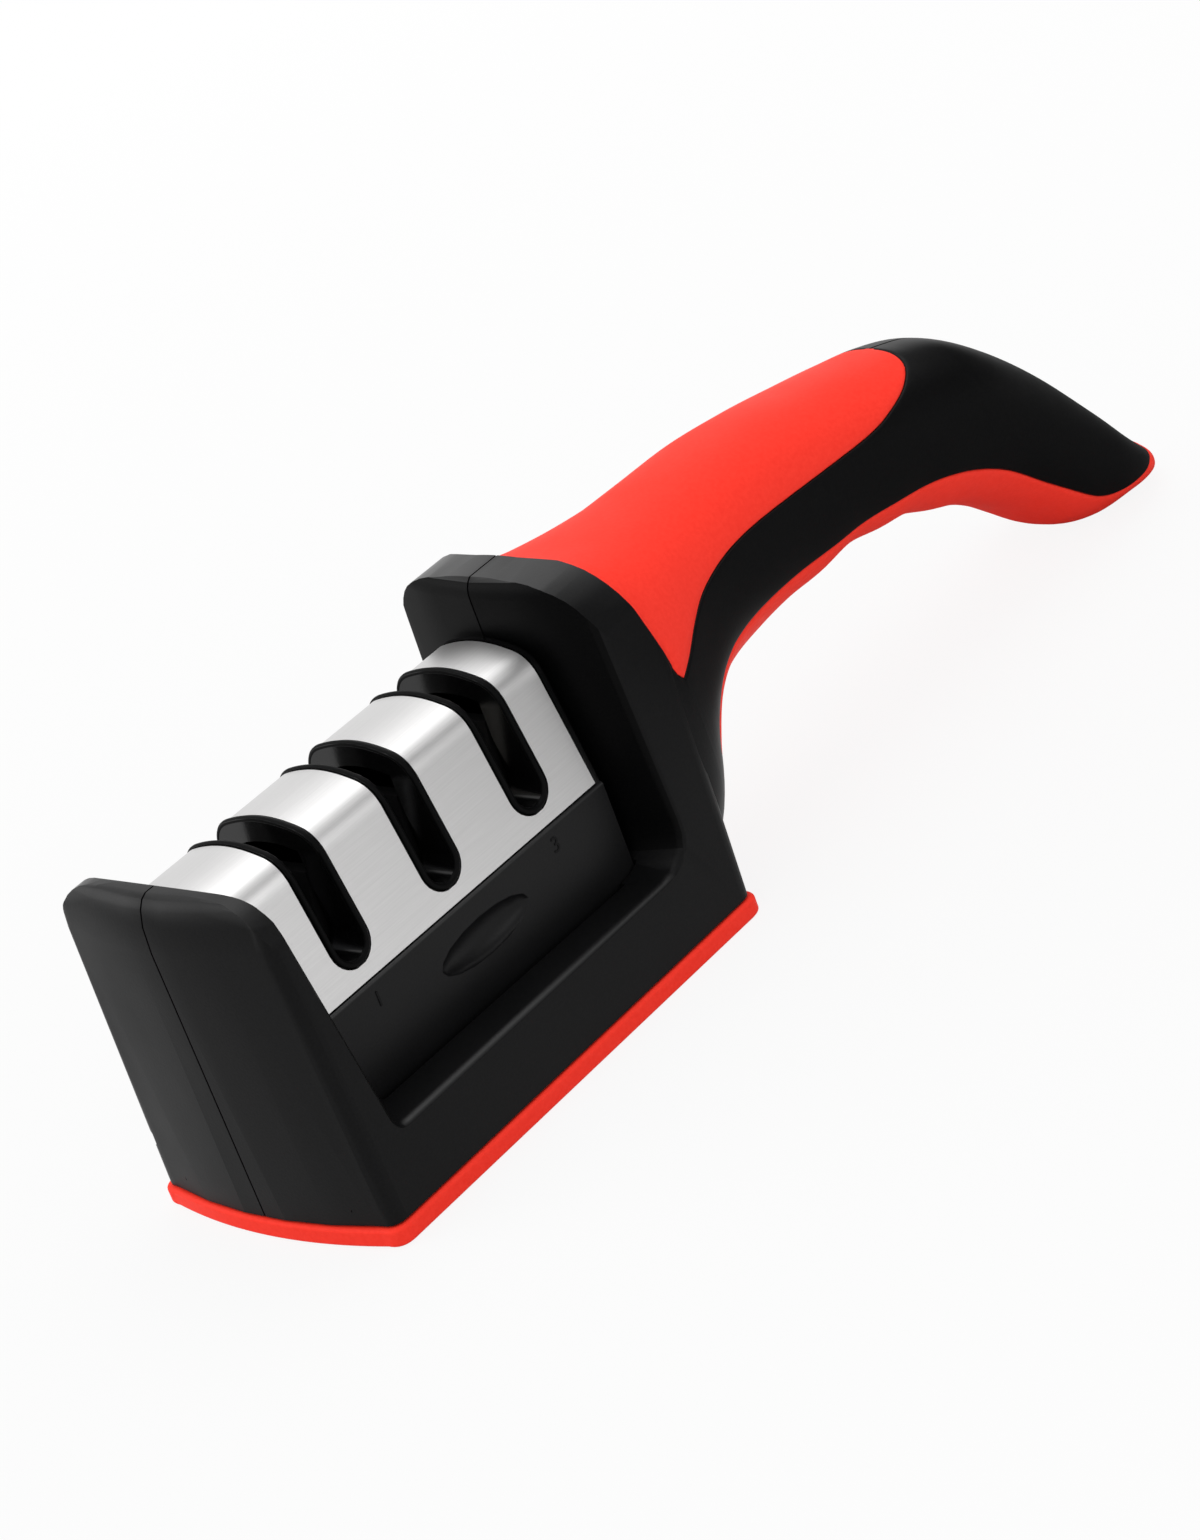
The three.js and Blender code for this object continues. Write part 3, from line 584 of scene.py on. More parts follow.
# %% Pad
form = bmesh.new()
stack = []
for z, inset in pad_levels:
    narrow, slim = 1 - inset / base_half, 1 - inset / base_front_half
    stack.append([form.verts.new(Vector((x * narrow, y * slim, z)) * mm) for x, y in pad_outline])
for low, high in zip(stack, stack[1:]):
    for j in range(len(low)):
        form.faces.new((low[j - 1], low[j], high[j], high[j - 1]))
form.faces.new(stack[0])
form.faces.new(stack[-1])
bmesh.ops.remove_doubles(form, verts=form.verts, dist=merge_distance)
bmesh.ops.recalc_face_normals(form, faces=form.faces)
shade(form, sharp_angle)
pad_mesh = evened(mesh_of(form, "base_pad_form"), "base_pad_form")
link_mesh("finished_base_pad", pad_mesh, "housing", red_rubber, "red_rubber", "base_pad")

# %% [markdown]
# ## Handle
# The handle is one flowing skin, shared out between black plastic and two red
# grips that were moulded on afterwards, so their edges meet in a fine rounded
# groove. It could be cut from one mesh, but then the groove would follow the
# mesh. Here the skin is a rule: a soft oval section whose top, bottom and width
# follow smooth lines. Each patch is a grid on that rule, dense at its own edges,
# and its points sink where they come close to an edge.

# %% Lines of the handle
handle_start, handle_length, handle_height, handle_half_width = 35.0, 135.4, 60.0, 13.7


def through(keys):
    """A smooth curve through a few (share, value) keys."""
    at, value = np.array(keys).T

    def curve(share):
        share = np.clip(share, at[0], at[-1])
        after = np.clip(np.searchsorted(at, share, side="right"), 1, len(at) - 1)
        here = after - 1
        first, last = here == 0, after == len(at) - 1
        prior = np.where(first, after, here - 1)
        later = np.where(last, here, np.minimum(after + 1, len(at) - 1))
        step = at[after] - at[here]
        pull = step / 2 / (at[here] - at[prior])
        push = step / 2 / (at[later] - at[after])
        t = (share - at[here]) / step
        return (value[prior] * (-pull * t**3 + 2 * pull * t**2 - pull * t)
                + value[here] * ((1 + pull) * t**3 - (1.5 + 2 * pull) * t**2 + (pull - 0.5) * t + 1)
                + value[after] * ((-1 - push) * t**3 + (1.5 + push) * t**2 + 0.5 * t)
                + value[later] * (push * t**3 - push * t**2))
    return curve


handle_top = through([
    (0, 0.98), (0.0662, 0.94), (0.1103, 0.9233), (0.1691, 0.9133), (0.2574, 0.9117),
    (0.3456, 0.9083), (0.4338, 0.8833), (0.5221, 0.8483), (0.5956, 0.8167), (0.6544, 0.7883),
    (0.7132, 0.74), (0.7721, 0.6417), (0.8309, 0.51), (0.8897, 0.34), (0.9338, 0.2033),
    (0.9706, 0.118), (1, 0.08)])
handle_bottom = through([
    (0, 0.0933), (0.0559, 0.09), (0.0868, 0.15), (0.1088, 0.235), (0.1382, 0.3167),
    (0.1735, 0.3767), (0.2132, 0.41), (0.2721, 0.43), (0.3382, 0.44), (0.3971, 0.4367),
    (0.4559, 0.4467), (0.5147, 0.42), (0.5662, 0.4), (0.6176, 0.35), (0.6618, 0.31),
    (0.7059, 0.2533), (0.7426, 0.195), (0.7794, 0.1233), (0.8162, 0.0533), (0.8603, 0.0133),
    (0.9191, 0.0067), (0.9632, 0.0067), (1, 0.01)])
handle_half = through([
    (0, 1.44), (0.0662, 1.43), (0.1103, 1.31), (0.1618, 1.155), (0.2206, 1.0438),
    (0.2868, 0.9927), (0.3603, 0.9708), (0.4485, 0.9708), (0.5368, 0.9854), (0.625, 1),
    (0.7132, 1), (0.7868, 0.9927), (0.8456, 0.9781), (0.9044, 0.93), (0.9485, 0.8),
    (0.9779, 0.6), (1, 0.3)])
print("handle: half width", round(float(handle_half(0.5)) * handle_half_width, 1), "mm at its middle")

# %% The skin as a rule
root_end, root_length, oval_power, root_power, least_half = 0.2, 0.18, 2.35, 1.05, 0.4
side_draft, draft_half_width, draft_level, probe_step = 0.056, 23.9, 0.7, 0.02


def handle_section(share, inset=0.0):
    """How boxy the section is at its root, its power, middle, half height and half width."""
    root = np.clip((root_end - share) / root_length, 0, 1)
    top = handle_top(share) * handle_height - inset
    bottom = handle_bottom(share) * handle_height + inset
    half = np.maximum(handle_half(share) * handle_half_width - inset, least_half)
    high = np.maximum((top - bottom) / 2, least_half)
    return root, oval_power + root_power * root, (top + bottom) / 2, high, half


def root_draft(root, z):
    """How much wider the root is low down, like the base that it grows from."""
    return 1 + root * side_draft * (draft_level * handle_height - z) / draft_half_width


def skin_point(share, angle, inset=0.0):
    """A point on the skin; angle 0 is the top, and a positive one is on the left."""
    root, power, middle, high, half = handle_section(share, inset)
    across, rise = np.sin(angle), np.cos(angle)
    z = middle + high * np.sign(rise) * np.abs(rise) ** (2 / power)
    y = half * root_draft(root, z) * np.sign(across) * np.abs(across) ** (2 / power)
    return np.stack(np.broadcast_arrays(handle_start + share * handle_length, y, z), -1)


def skin_level(point):
    """1 on the skin, less inside and more outside."""
    x, y, z = np.moveaxis(point, -1, 0)
    root, power, middle, high, half = handle_section((x - handle_start) / handle_length)
    return np.abs(y / half / root_draft(root, z)) ** power + np.abs((z - middle) / high) ** power


def skin_normal(point):
    """Outward direction of the skin at a point."""
    steps = np.eye(3) * probe_step
    slope = np.stack([skin_level(point + d) - skin_level(point - d) for d in steps], -1)
    return slope / np.maximum(np.linalg.norm(slope, axis=-1, keepdims=True), 1e-9)


print("top of the skin at its middle:", np.round(skin_point(0.5, 0.0), 1), "mm")

# %% Edges of the grips
finger_start, tongue_limit, no_grip = 0.1, 0.66, 3.0


def smooth_line(keys, count=60):
    """Points of a smooth line through keys, sorted along the handle."""
    keys = np.array(keys)
    line = []
    for i in range(len(keys) - 1):
        a, b, c, d = keys[max(i - 1, 0)], keys[i], keys[i + 1], keys[min(i + 2, len(keys) - 1)]
        for t in np.arange(count) / count:
            line.append(b + (c - a) / 2 * t + (3 * (c - b) - (c - a) - (d - b) / 2) * t * t
                        + (2 * (b - c) + (c - a) / 2 + (d - b) / 2) * t**3)
    line = np.array(line + [keys[-1]])
    return line[np.argsort(line[:, 0])]


tongue_root = (-0.006, 1.17)
top_line = np.vstack([tongue_root, smooth_line([
    (0.0706, 0.6067), (0.1, 0.6367), (0.136, 0.6833), (0.1838, 0.7233), (0.2721, 0.7467),
    (0.4191, 0.7333), (0.5074, 0.7267), (0.5588, 0.7383), (0.6029, 0.757), (0.634, 0.784),
    (0.655, 0.835), (0.664, 0.9)])])
finger_line = smooth_line([
    (0.986, 0.19), (0.974, 0.13), (0.954, 0.094), (0.922, 0.073), (0.885, 0.077),
    (0.8382, 0.115), (0.7721, 0.2333), (0.6912, 0.3833), (0.6029, 0.4767), (0.5, 0.5167),
    (0.4191, 0.53), (0.3309, 0.5433), (0.2574, 0.5433), (0.1985, 0.5233), (0.1544, 0.4867),
    (0.1176, 0.4333), (finger_start, 0.3767)])


def edge_angle(share, z):
    """Angle at which the skin has a height."""
    root, power, middle, high, half = handle_section(share)
    rise = np.clip((z - middle) / high, -1, 1)
    return np.arccos(np.sign(rise) * np.abs(rise) ** (power / 2))


def line_angle(share, line):
    """Angle at which the skin meets a line of its side."""
    return edge_angle(share, np.interp(share, line[:, 0], line[:, 1], right=no_grip) * handle_height)


def top_edge_angle(share):
    """Angle down to which the top grip reaches."""
    return line_angle(share, top_line)


def finger_edge_angle(share):
    """Angle from which the finger grip starts."""
    return line_angle(share, finger_line)


fine_shares = np.linspace(0, 1, 8001)
tongue_end = fine_shares[(fine_shares < tongue_limit) & (top_edge_angle(fine_shares) > 0)].max()
black_end = fine_shares[finger_edge_angle(fine_shares) > 0].max()
print("top grip ends at", round(tongue_end, 4), "and black at", round(black_end, 4), "of the handle")

# %% Rings along the handle
groove_steps = np.array([0, 0.05, 0.11, 0.18, 0.27, 0.38, 0.52])
wider_steps = [0.75, 1.1, 1.6, 2.4, 3.4]
even_rings, end_rings, end_reach, ring_gap = 120, 34, 0.14, 0.03


def stations():
    """Shares along the handle, closer together where an edge crosses or ends."""
    marks = [0.0, finger_start, tongue_end, black_end, 1.0]
    steps = np.concatenate([groove_steps[1:], wider_steps]) / handle_length
    into_end = np.linspace(0, end_reach, end_rings) ** 2
    shares = np.concatenate([
        np.linspace(0, 1, even_rings), finger_start + steps, finger_start - steps, tongue_end + steps,
        black_end + steps, 1 - steps, tongue_end - into_end, black_end - into_end])
    gap = ring_gap / handle_length
    clear = [s for s in shares if 0 < s < 1 and min(abs(s - mark) for mark in marks) > gap]
    return np.unique(np.round(marks + clear, 6))


rings = stations()
tongue_end, black_end = (rings[np.abs(rings - end).argmin()] for end in (tongue_end, black_end))
start_angle = float(finger_edge_angle(finger_start))
print("rings along the handle:", len(rings))

# %% Edges and seams to sink at
edge_reach, long_count, close_count, start_count = 0.1, 1200, 260, 500
top_seam_count, neck_seam_count = 1500, 300


def edge_tree(lines):
    """A search tree of the points of some edges."""
    points = np.concatenate(lines)
    tree = KDTree(len(points))
    for i, p in enumerate(points):
        tree.insert(p, i)
    tree.balance()
    return tree


def toward(first, last):
    """Shares from first to last, very close together at the last."""
    close = last - np.linspace(0, edge_reach, close_count) ** 2
    return np.unique(np.concatenate([np.linspace(first, last, long_count), close]))


along_top, along_fingers = toward(0, tongue_end), toward(finger_start, black_end)
edge_lines = [skin_point(finger_start, np.linspace(start_angle, math.tau - start_angle, start_count))]
for sign in (-1, 1):
    edge_lines.append(skin_point(along_top, sign * top_edge_angle(along_top)))
    edge_lines.append(skin_point(along_fingers, sign * finger_edge_angle(along_fingers)))
grooves = edge_tree(edge_lines)
seams = edge_tree([skin_point(np.linspace(tongue_end, black_end, top_seam_count), 0.0),
                   skin_point(np.linspace(0, finger_start, neck_seam_count), math.pi)])
print("edges of the grips:", len(edge_lines))

# %% Patches of skin
groove_radius, seam_radius, seam_half = 0.5, 0.2, 0.12
angle_probe, edge_part = 0.01, 0.3


def angles_between(share, low, high, count):
    """Rows of angles from one edge to another, closer together at both."""
    middle = (low + high) / 2
    apart = skin_point(share, middle + angle_probe) - skin_point(share, middle - angle_probe)
    reach = np.linalg.norm(apart, axis=-1) / (2 * angle_probe)
    scale = np.clip((high - low) * reach * edge_part / groove_steps[-1], 0, 1)
    near = groove_steps * (scale / np.maximum(reach, 1))[:, None]
    first, last = low[:, None] + near, high[:, None] - near[:, ::-1]
    between = first[:, -1:] + (last[:, :1] - first[:, -1:]) * np.linspace(0, 1, count)[1:-1]
    return np.concatenate([first, between, last], 1)


def sunk(points, edges, radius):
    """How far points go in to round an edge, by their distance from it."""
    away = np.array([edges.find(p)[2] for p in points.reshape(-1, 3)]).reshape(points.shape[:-1])
    inner = np.clip(radius - away, 0, radius)
    return radius - np.sqrt(radius**2 - inner**2)


def add_patch(form, share, angles, with_seam):
    """One grid of the skin, with its rounded edges, as faces of a form."""
    points = skin_point(share[:, None], angles)
    depth = sunk(points, grooves, groove_radius)
    if with_seam:
        depth = np.maximum(depth, sunk(points, seams, seam_radius))
    placed = (points - skin_normal(points) * depth[..., None]) * mm
    corners = [[form.verts.new(p) for p in row] for row in placed]
    for row, after in zip(corners, corners[1:]):
        for a, b, c, d in zip(row, after, after[1:], row[1:]):
            form.faces.new((a, b, c, d))
    bmesh.ops.remove_doubles(form, verts=form.verts, dist=merge_distance)


def closed_patch(form, wall):
    """A patch as a closed skin with a wall."""
    bmesh.ops.dissolve_degenerate(form, edges=form.edges, dist=merge_distance)
    bmesh.ops.recalc_face_normals(form, faces=form.faces)
    probe = max(form.faces, key=lambda face: face.calc_area())
    if probe.normal.dot(Vector(skin_normal(np.array(probe.calc_center_median()) / mm))) < 0:
        bmesh.ops.reverse_faces(form, faces=form.faces)
    return with_modifier(mesh_of(form, "patch"), "SOLIDIFY", thickness=wall * mm, offset=-1.0)


def shaded_mesh(mesh, angle, name):
    """The mesh shaded smooth up to an angle."""
    form = form_of(mesh)
    shade(form, angle)
    return mesh_of(form, name)


# %% Red grips of the handle
groove_angle = math.radians(55)
skin_wall, finger_wall, top_start = 1.4, 0.4, 0.01
top_rows, finger_rows, side_rows, neck_rows = 40, 48, 34, 24

top_share = rings[(rings > top_start) & (rings <= tongue_end)]
reach = top_edge_angle(top_share)
form = bmesh.new()
add_patch(form, top_share, angles_between(top_share, -reach, reach, top_rows), False)
top_skin = shaded_mesh(closed_patch(form, skin_wall), groove_angle, "top_grip_skin")
link_mesh("finished_top_grip", top_skin, "housing", red_rubber, "red_rubber", "top_grip")

finger_share = rings[rings >= finger_start]
reach = finger_edge_angle(finger_share)
form = bmesh.new()
add_patch(form, finger_share, angles_between(finger_share, reach, math.tau - reach, finger_rows), False)
tip_x = max(v.co.x for v in form.verts) - merge_distance
tip_edges = [e for e in form.edges if e.is_boundary and all(v.co.x > tip_x for v in e.verts)]
bmesh.ops.contextual_create(form, geom=tip_edges)
finger_skin = shaded_mesh(closed_patch(form, finger_wall), groove_angle, "finger_grip_skin")
link_mesh("finished_finger_grip", finger_skin, "housing", red_rubber, "red_rubber", "finger_grip")


# %% Black sides of the handle
def handle_side(sign):
    """The black skin of one side, from the root to where the red tip takes over."""
    share = rings[rings <= black_end]
    width = handle_half(share) * handle_half_width
    top = np.maximum(top_edge_angle(share), seam_half / width)
    low = np.where(share < finger_start, start_angle, finger_edge_angle(share))
    form = bmesh.new()
    add_patch(form, share, sign * angles_between(share, top, np.maximum(low, top), side_rows), True)
    neck = share <= finger_start
    bottom = math.pi - seam_half / width[neck]
    add_patch(form, share[neck], sign * angles_between(share[neck], low[neck], bottom, neck_rows), True)
    return closed_patch(form, skin_wall)


handle_sides = {sign: handle_side(sign) for sign in (-1, 1)}
print("sides:", [len(side.polygons) for side in handle_sides.values()], "faces")

# %% [markdown]
# ## Shells
# The housing is two moulded halves that meet along the middle. The front of
# each, with its share of the base and the towers, is a copy of its solid, cut
# off where the handle starts, and the black side of the handle is added to it.
# The rim of the pocket gets a fine chamfer. The chamfer and the faces of the
# pocket that look at the cartridge get a darker plastic: painted shade. Hands
# polish the ledge and the tops of the towers. A second material there would end
# in a hard line, so each point carries a value, rubbed, that the plastic turns
# into shine.

# %% Tools to cut with
pocket_half, ledge_height, ledge_reach, chamfer_width = 14.2, 14.4, (-28.8, 24.8), 0.9
cutter_grow, cutter_sides, cutter_rings, tip_crowding, tip_grow = 0.03, 30, 42, 0.75, 1.2
bar_sides = 40


def carved(mesh, tool_mesh, operation, solver="MANIFOLD", use_self=False):
    """One closed mesh joined with another, or cut by it."""
    tool = in_scene("tool", tool_mesh)
    done = with_modifier(mesh, "BOOLEAN", operation=operation, object=tool, solver=solver,
                         use_self=use_self)
    bpy.data.objects.remove(tool)
    return done


def facet_handle():
    """The handle with the facets of its solid, a little larger, to cut it off the solid."""
    t = np.linspace(0, 1, cutter_rings + 1)
    share = t + (np.sin(t * math.pi / 2) - t) * tip_crowding
    angles = np.arange(cutter_sides) * math.tau / cutter_sides
    form = bmesh.new()
    loops = [[form.verts.new(p * mm) for p in skin_point(s, angles, -cutter_grow)]
             for s in share * (1 + cutter_grow * tip_grow / handle_length)]
    for row, after in zip(loops, loops[1:]):
        for j in range(cutter_sides):
            form.faces.new((row[j], row[j - 1], after[j - 1], after[j]))
    form.faces.new(loops[0])
    form.faces.new(loops[-1])
    bmesh.ops.recalc_face_normals(form, faces=form.faces)
    return mesh_of(form, "handle_cutter")


def round_bar(x, z, radius, y0, y1):
    """A round bar across the handle."""
    place = Matrix.Translation(Vector((x, (y0 + y1) / 2, z)) * mm)
    form = bmesh.new()
    bmesh.ops.create_cone(form, cap_ends=True, segments=bar_sides, depth=(y1 - y0) * mm,
                          radius1=radius * mm, radius2=radius * mm,
                          matrix=place @ Matrix.Rotation(math.radians(90), 4, "X"))
    return mesh_of(form, "bar")


def rim_chamfer(y):
    """A thin square bar on its edge, to chamfer the pocket's rim."""
    low, high = ledge_reach
    width = chamfer_width * math.sqrt(2) * mm
    place = Matrix.Translation(Vector(((low + high) / 2, y, ledge_height)) * mm)
    turn = Matrix.Rotation(math.radians(45), 4, "X")
    form = bmesh.new()
    bmesh.ops.create_cube(form, size=1.0,
                          matrix=place @ turn @ Matrix.Diagonal(((high - low) * mm, width, width, 1)))
    return mesh_of(form, "chamfer_bar")


handle_cutter = facet_handle()
print("handle cutter:", len(handle_cutter.polygons), "faces")

# %% Rubbed and recessed places
front_top, rear_top, collar_end, tower_half = 54.2, 60.4, 40.0, 34.0
ledge_run, ledge_edge_foot, ledge_edge_out, ledge_slope = (-33, 28), 13.6, 4, (0.5, 0.97)
ledge_slack, rim_slope, face_slope, face_foot = 0.1, 0.3, 0.7, 1
front_rub, rear_rub, rub_foot, rub_fade, rub_slope, rub_turn = 0.6, 1.0, 12.0, 4, 0.35, 0.45


def rubbed_share(p, normal):
    """How far hands have rubbed the round of the ledge and the tops of the two towers."""
    if ledge_edge_foot < p.z < ledge_height + ledge_slack:
        on_ledge = ledge_run[0] < p.x < ledge_run[1] and abs(p.y) > pocket_half + ledge_edge_out
        return float(on_ledge and ledge_slope[0] < normal.z < ledge_slope[1])
    if p.x >= collar_end:
        return 0.0
    top, most = (front_top, front_rub) if p.x < 0 else (rear_top, rear_rub)
    high = np.clip((p.z - top + rub_foot) / rub_fade, 0, 1)
    return float(most * high * np.clip((normal.z - rub_slope) / rub_turn, 0, 1))


def is_in_recess(p, normal):
    """True on the faces of the towers and of the pocket's rim that look at the cartridge; they get the
    darker plastic of painted shade.
    """
    if ledge_height - chamfer_width < p.z < ledge_height:
        return abs(abs(p.y) - pocket_half) < chamfer_width and normal.z > rim_slope
    return (abs(p.x) < tower_half and p.z > ledge_height + face_foot
            and normal.x * p.x < 0 and abs(normal.x) > face_slope)


print("rubbed above", front_top - rub_foot, "mm in front and", rear_top - rub_foot, "mm behind")

# %% Shells with their handle sides
screw_wells = [(0.154, 0.595), (0.654, 0.525)]
well_radius, well_wall, well_seat = 2.9, 1.5, 5.7
post_foot, post_under, well_over = 0.4, 1, 5

for sign, hand in ((-1, "right"), (1, "left")):
    side = handle_sides[sign]
    for share, rise in screw_wells if sign > 0 else []:
        x, z = handle_start + share * handle_length, rise * handle_height
        outside = float(skin_point(share, edge_angle(share, z))[1])
        post = round_bar(x, z, well_radius + well_wall, post_foot, outside - post_under)
        side = carved(side, post, "UNION")
        side = carved(side, round_bar(x, z, well_radius, well_seat, outside + well_over), "DIFFERENCE")
    name = hand + "_shell"
    front = carved(mesh_of(merged_copy(name), "shell"), handle_cutter, "DIFFERENCE")
    form = form_of(carved(front, rim_chamfer(sign * pocket_half), "DIFFERENCE"))
    joined_flats(form)
    form.from_mesh(shaded_mesh(side, groove_angle, "side"))
    whole = evened(mesh_of(form, name + "_form"), name + "_form")
    piece = link_mesh("finished_" + name, whole, "housing", black_plastic, "black_plastic", name)
    # The pocket's faces take the darker plastic: painted shade in the pocket.
    piece.data.materials.append(painted_shade_plastic)
    for face in piece.data.polygons:
        face.material_index = int(is_in_recess(face.center / mm, face.normal))
    mark_rubbed(piece.data, rubbed_share)

# %% [markdown]
# ## Steel cover
# The cover is one sheet of stainless, punched flat with three long holes and
# then bent over the cartridge. It is made here the same way: the flat blank is
# filled with triangles, each point is carried to its place on the bent
# section, and the sheet gets its thickness and a small round on every edge.

# %% Bent section of the cover
cover_bottom, cover_half = 29.5, 13.5
bend_start, bend_corner, bend_end = (10.3, 46.6), (9.7, 50.0), (6.8, 50.9)
crown_pull, crown = (3.2, 52.0), (0.0, 52.0)
side_steps, bend_steps, crown_steps = 12, 12, 10

side_line = [(cover_half + (bend_start[0] - cover_half) * i / side_steps,
              cover_bottom + (bend_start[1] - cover_bottom) * i / side_steps)
             for i in range(side_steps + 1)]
half_section = (side_line + bow(bend_start, bend_corner, bend_end, bend_steps)
                + bow(bend_end, crown_pull, crown, crown_steps))
section = np.array([(-y, z) for y, z in half_section] + half_section[-2::-1])
along = np.concatenate([[0], np.cumsum(np.linalg.norm(np.diff(section, axis=0), axis=1))])
sheet_width = along[-1]
print("cover section", len(section), "points,", round(sheet_width, 1), "mm of sheet")


def section_at(s):
    """(y, z) at a distance along the flat sheet."""
    return float(np.interp(s, along, section[:, 0])), float(np.interp(s, along, section[:, 1]))


# %% Edges of the flat blank
slot_places = [-22.25, -2.85, 16.55]
steel_slot_half, steel_slot_end, slot_turns, row_gap = 3.9, 31.6, 14, 0.4
tower_face, tower_lean, end_gap, cover_rear = -38.1, 0.11, 1.2, 27.6


def cover_front(s):
    """Front end of the sheet, which follows the leaning face of the front tower."""
    return tower_face + (front_top - section_at(s)[1]) * tower_lean + end_gap


def stretch_of(z):
    """Distance along the sheet of a height on its near side."""
    return float(np.interp(z, section[:side_steps + 1, 1], along[:side_steps + 1]))


def slot_loop(x, margin):
    """One punched hole in the flat blank, or a line round it: straight sides and round ends."""
    turns = [math.pi * i / slot_turns for i in range(slot_turns + 1)]
    half = steel_slot_half + margin
    near = [(x + half * math.cos(a), stretch_of(steel_slot_end + steel_slot_half - half * math.sin(a)))
            for a in turns]
    first = near[0][1] + row_gap
    rows = [s for s in along if first < s < sheet_width - first]
    far = [(px, sheet_width - ps) for px, ps in reversed(near)]
    return near + [(x - half, s) for s in rows] + far + [(x + half, s) for s in reversed(rows)]


outer_loop = [(cover_front(s), s) for s in along] + [(cover_rear, s) for s in reversed(along)]
flat_points, flat_edges = [], []
for loop in [outer_loop] + [slot_loop(x, 0) for x in slot_places]:
    first = len(flat_points)
    flat_points += loop
    flat_edges += [(first + i, first + (i + 1) % len(loop)) for i in range(len(loop))]
print("flat blank:", len(flat_edges), "edges")

# %% Flat blank
edge_band, row_margin, inner_margin = 0.5, 0.4, 0.85
grid_start, grid_pitch, edge_slack, same_point = -36, 1.1, -0.02, 1e-5


def in_steel(x, s, margin):
    """Whether a point of the blank is steel, at least a margin from any edge."""
    if not (cover_front(s) + margin < x < cover_rear - margin and margin < s < sheet_width - margin):
        return False
    low = stretch_of(steel_slot_end + steel_slot_half)
    beyond = max(low - s, s - (sheet_width - low), 0)
    return all(math.hypot(x - place, beyond) >= steel_slot_half + margin for place in slot_places)


for x in slot_places:
    flat_points += slot_loop(x, edge_band)
for s in along[1:-1]:
    flat_points += [(cover_front(s) + edge_band, float(s)), (cover_rear - edge_band, float(s))]
edge_rows = (edge_band, sheet_width - edge_band)
for s in (edge_rows[0], *along[1:-1], edge_rows[1]):
    margin = row_margin if s in edge_rows else inner_margin
    flat_points += [(float(x), float(s)) for x in np.arange(grid_start, cover_rear, grid_pitch)
                    if in_steel(x, s, margin)]
found = delaunay_2d_cdt([Vector(p) for p in flat_points], flat_edges, [], 0, same_point)
sheet_points = [(p.x, *section_at(p.y)) for p in found[0]]
sheet_faces = []
for corners in found[2]:
    middle = sum((found[0][i] for i in corners), Vector((0, 0))) / 3
    if in_steel(middle.x, middle.y, edge_slack):
        sheet_faces.append(corners)
print("flat blank:", len(sheet_points), "points,", len(sheet_faces), "triangles")

# %% Thickness and edges
sheet_thickness, sheet_edge, fold_angle = 0.8, 0.2, math.radians(50)

form = bmesh.new()
corners = [form.verts.new(Vector(p) * mm) for p in sheet_points]
for face in sheet_faces:
    form.faces.new([corners[i] for i in face])
bmesh.ops.delete(form, geom=[v for v in form.verts if not v.link_faces], context="VERTS")
bmesh.ops.recalc_face_normals(form, faces=form.faces)
top_face = max(form.faces, key=lambda f: f.calc_center_median().z)
if top_face.normal.z < 0:
    bmesh.ops.reverse_faces(form, faces=form.faces)
sheet = with_modifier(mesh_of(form, "cover_sheet"), "SOLIDIFY", thickness=sheet_thickness * mm,
                      offset=-1)
sheet = with_modifier(sheet, "BEVEL", width=sheet_edge * mm, segments=2, limit_method="ANGLE",
                      angle_limit=fold_angle)
cover_mesh = evened(shaded_mesh(sheet, fold_angle, "folded_sheet"), "bent_cover")
link_mesh("bent_cover", cover_mesh, "cartridge", cover_steel, "cover_steel", "steel_cover")

# %% [markdown]
# ## Slot lips
# Each slot has a black lip of the same size, rounded over, that runs up one
# side of the cartridge, across the top and down the other. One path is drawn
# from the cover's section, and Geometry Nodes sweep a round bead along it and
# repeat it at the pitch of the slots, so the three can't differ.

# %% Path of one lip
lip_half, lip_end, lip_out, lip_turns, lip_gap, lip_narrow = 3.15, 32.3, -0.15, 16, 0.8, 0.995
side_lean = (cover_half - bend_start[0]) / (bend_start[1] - cover_bottom)


def lip_path():
    """A closed loop round one slot at x = 0, on the cover's outer face."""
    low = lip_end + lip_half
    near = []
    for i in range(lip_turns + 1):
        a = math.pi * i / lip_turns
        z = low - lip_half * math.sin(a)
        near.append((lip_half * math.cos(a), side_lean * (z - cover_bottom) - cover_half - lip_out, z))
    over = [(y * lip_narrow, z + lip_out) for y, z in section if z > low + lip_gap]
    far = [(x, -y, z) for x, y, z in reversed(near)]
    return (near + [(-lip_half, y, z) for y, z in over] + far
            + [(lip_half, y, z) for y, z in reversed(over)])


path_points = [Vector(p) * mm for p in lip_path()]
path_mesh = bpy.data.meshes.new("lip_path")
path_edges = [(i, (i + 1) % len(path_points)) for i in range(len(path_points))]
path_mesh.from_pydata(path_points, path_edges, [])
print("lip path", len(path_points), "points")


# %% Tree helpers
def new_geometry_tree(name, inputs):
    """An empty Geometry Nodes tree, the identifiers of its inputs and what it is given."""
    tree = bpy.data.node_groups.new(name, "GeometryNodeTree")
    tree.interface.new_socket("Geometry", in_out="INPUT", socket_type="NodeSocketGeometry")
    names = {label: tree.interface.new_socket(label, in_out="INPUT", socket_type=kind).identifier
             for label, kind in inputs.items()}
    tree.interface.new_socket("Geometry", in_out="OUTPUT", socket_type="NodeSocketGeometry")
    return tree, names, add_node(tree, "NodeGroupInput").outputs


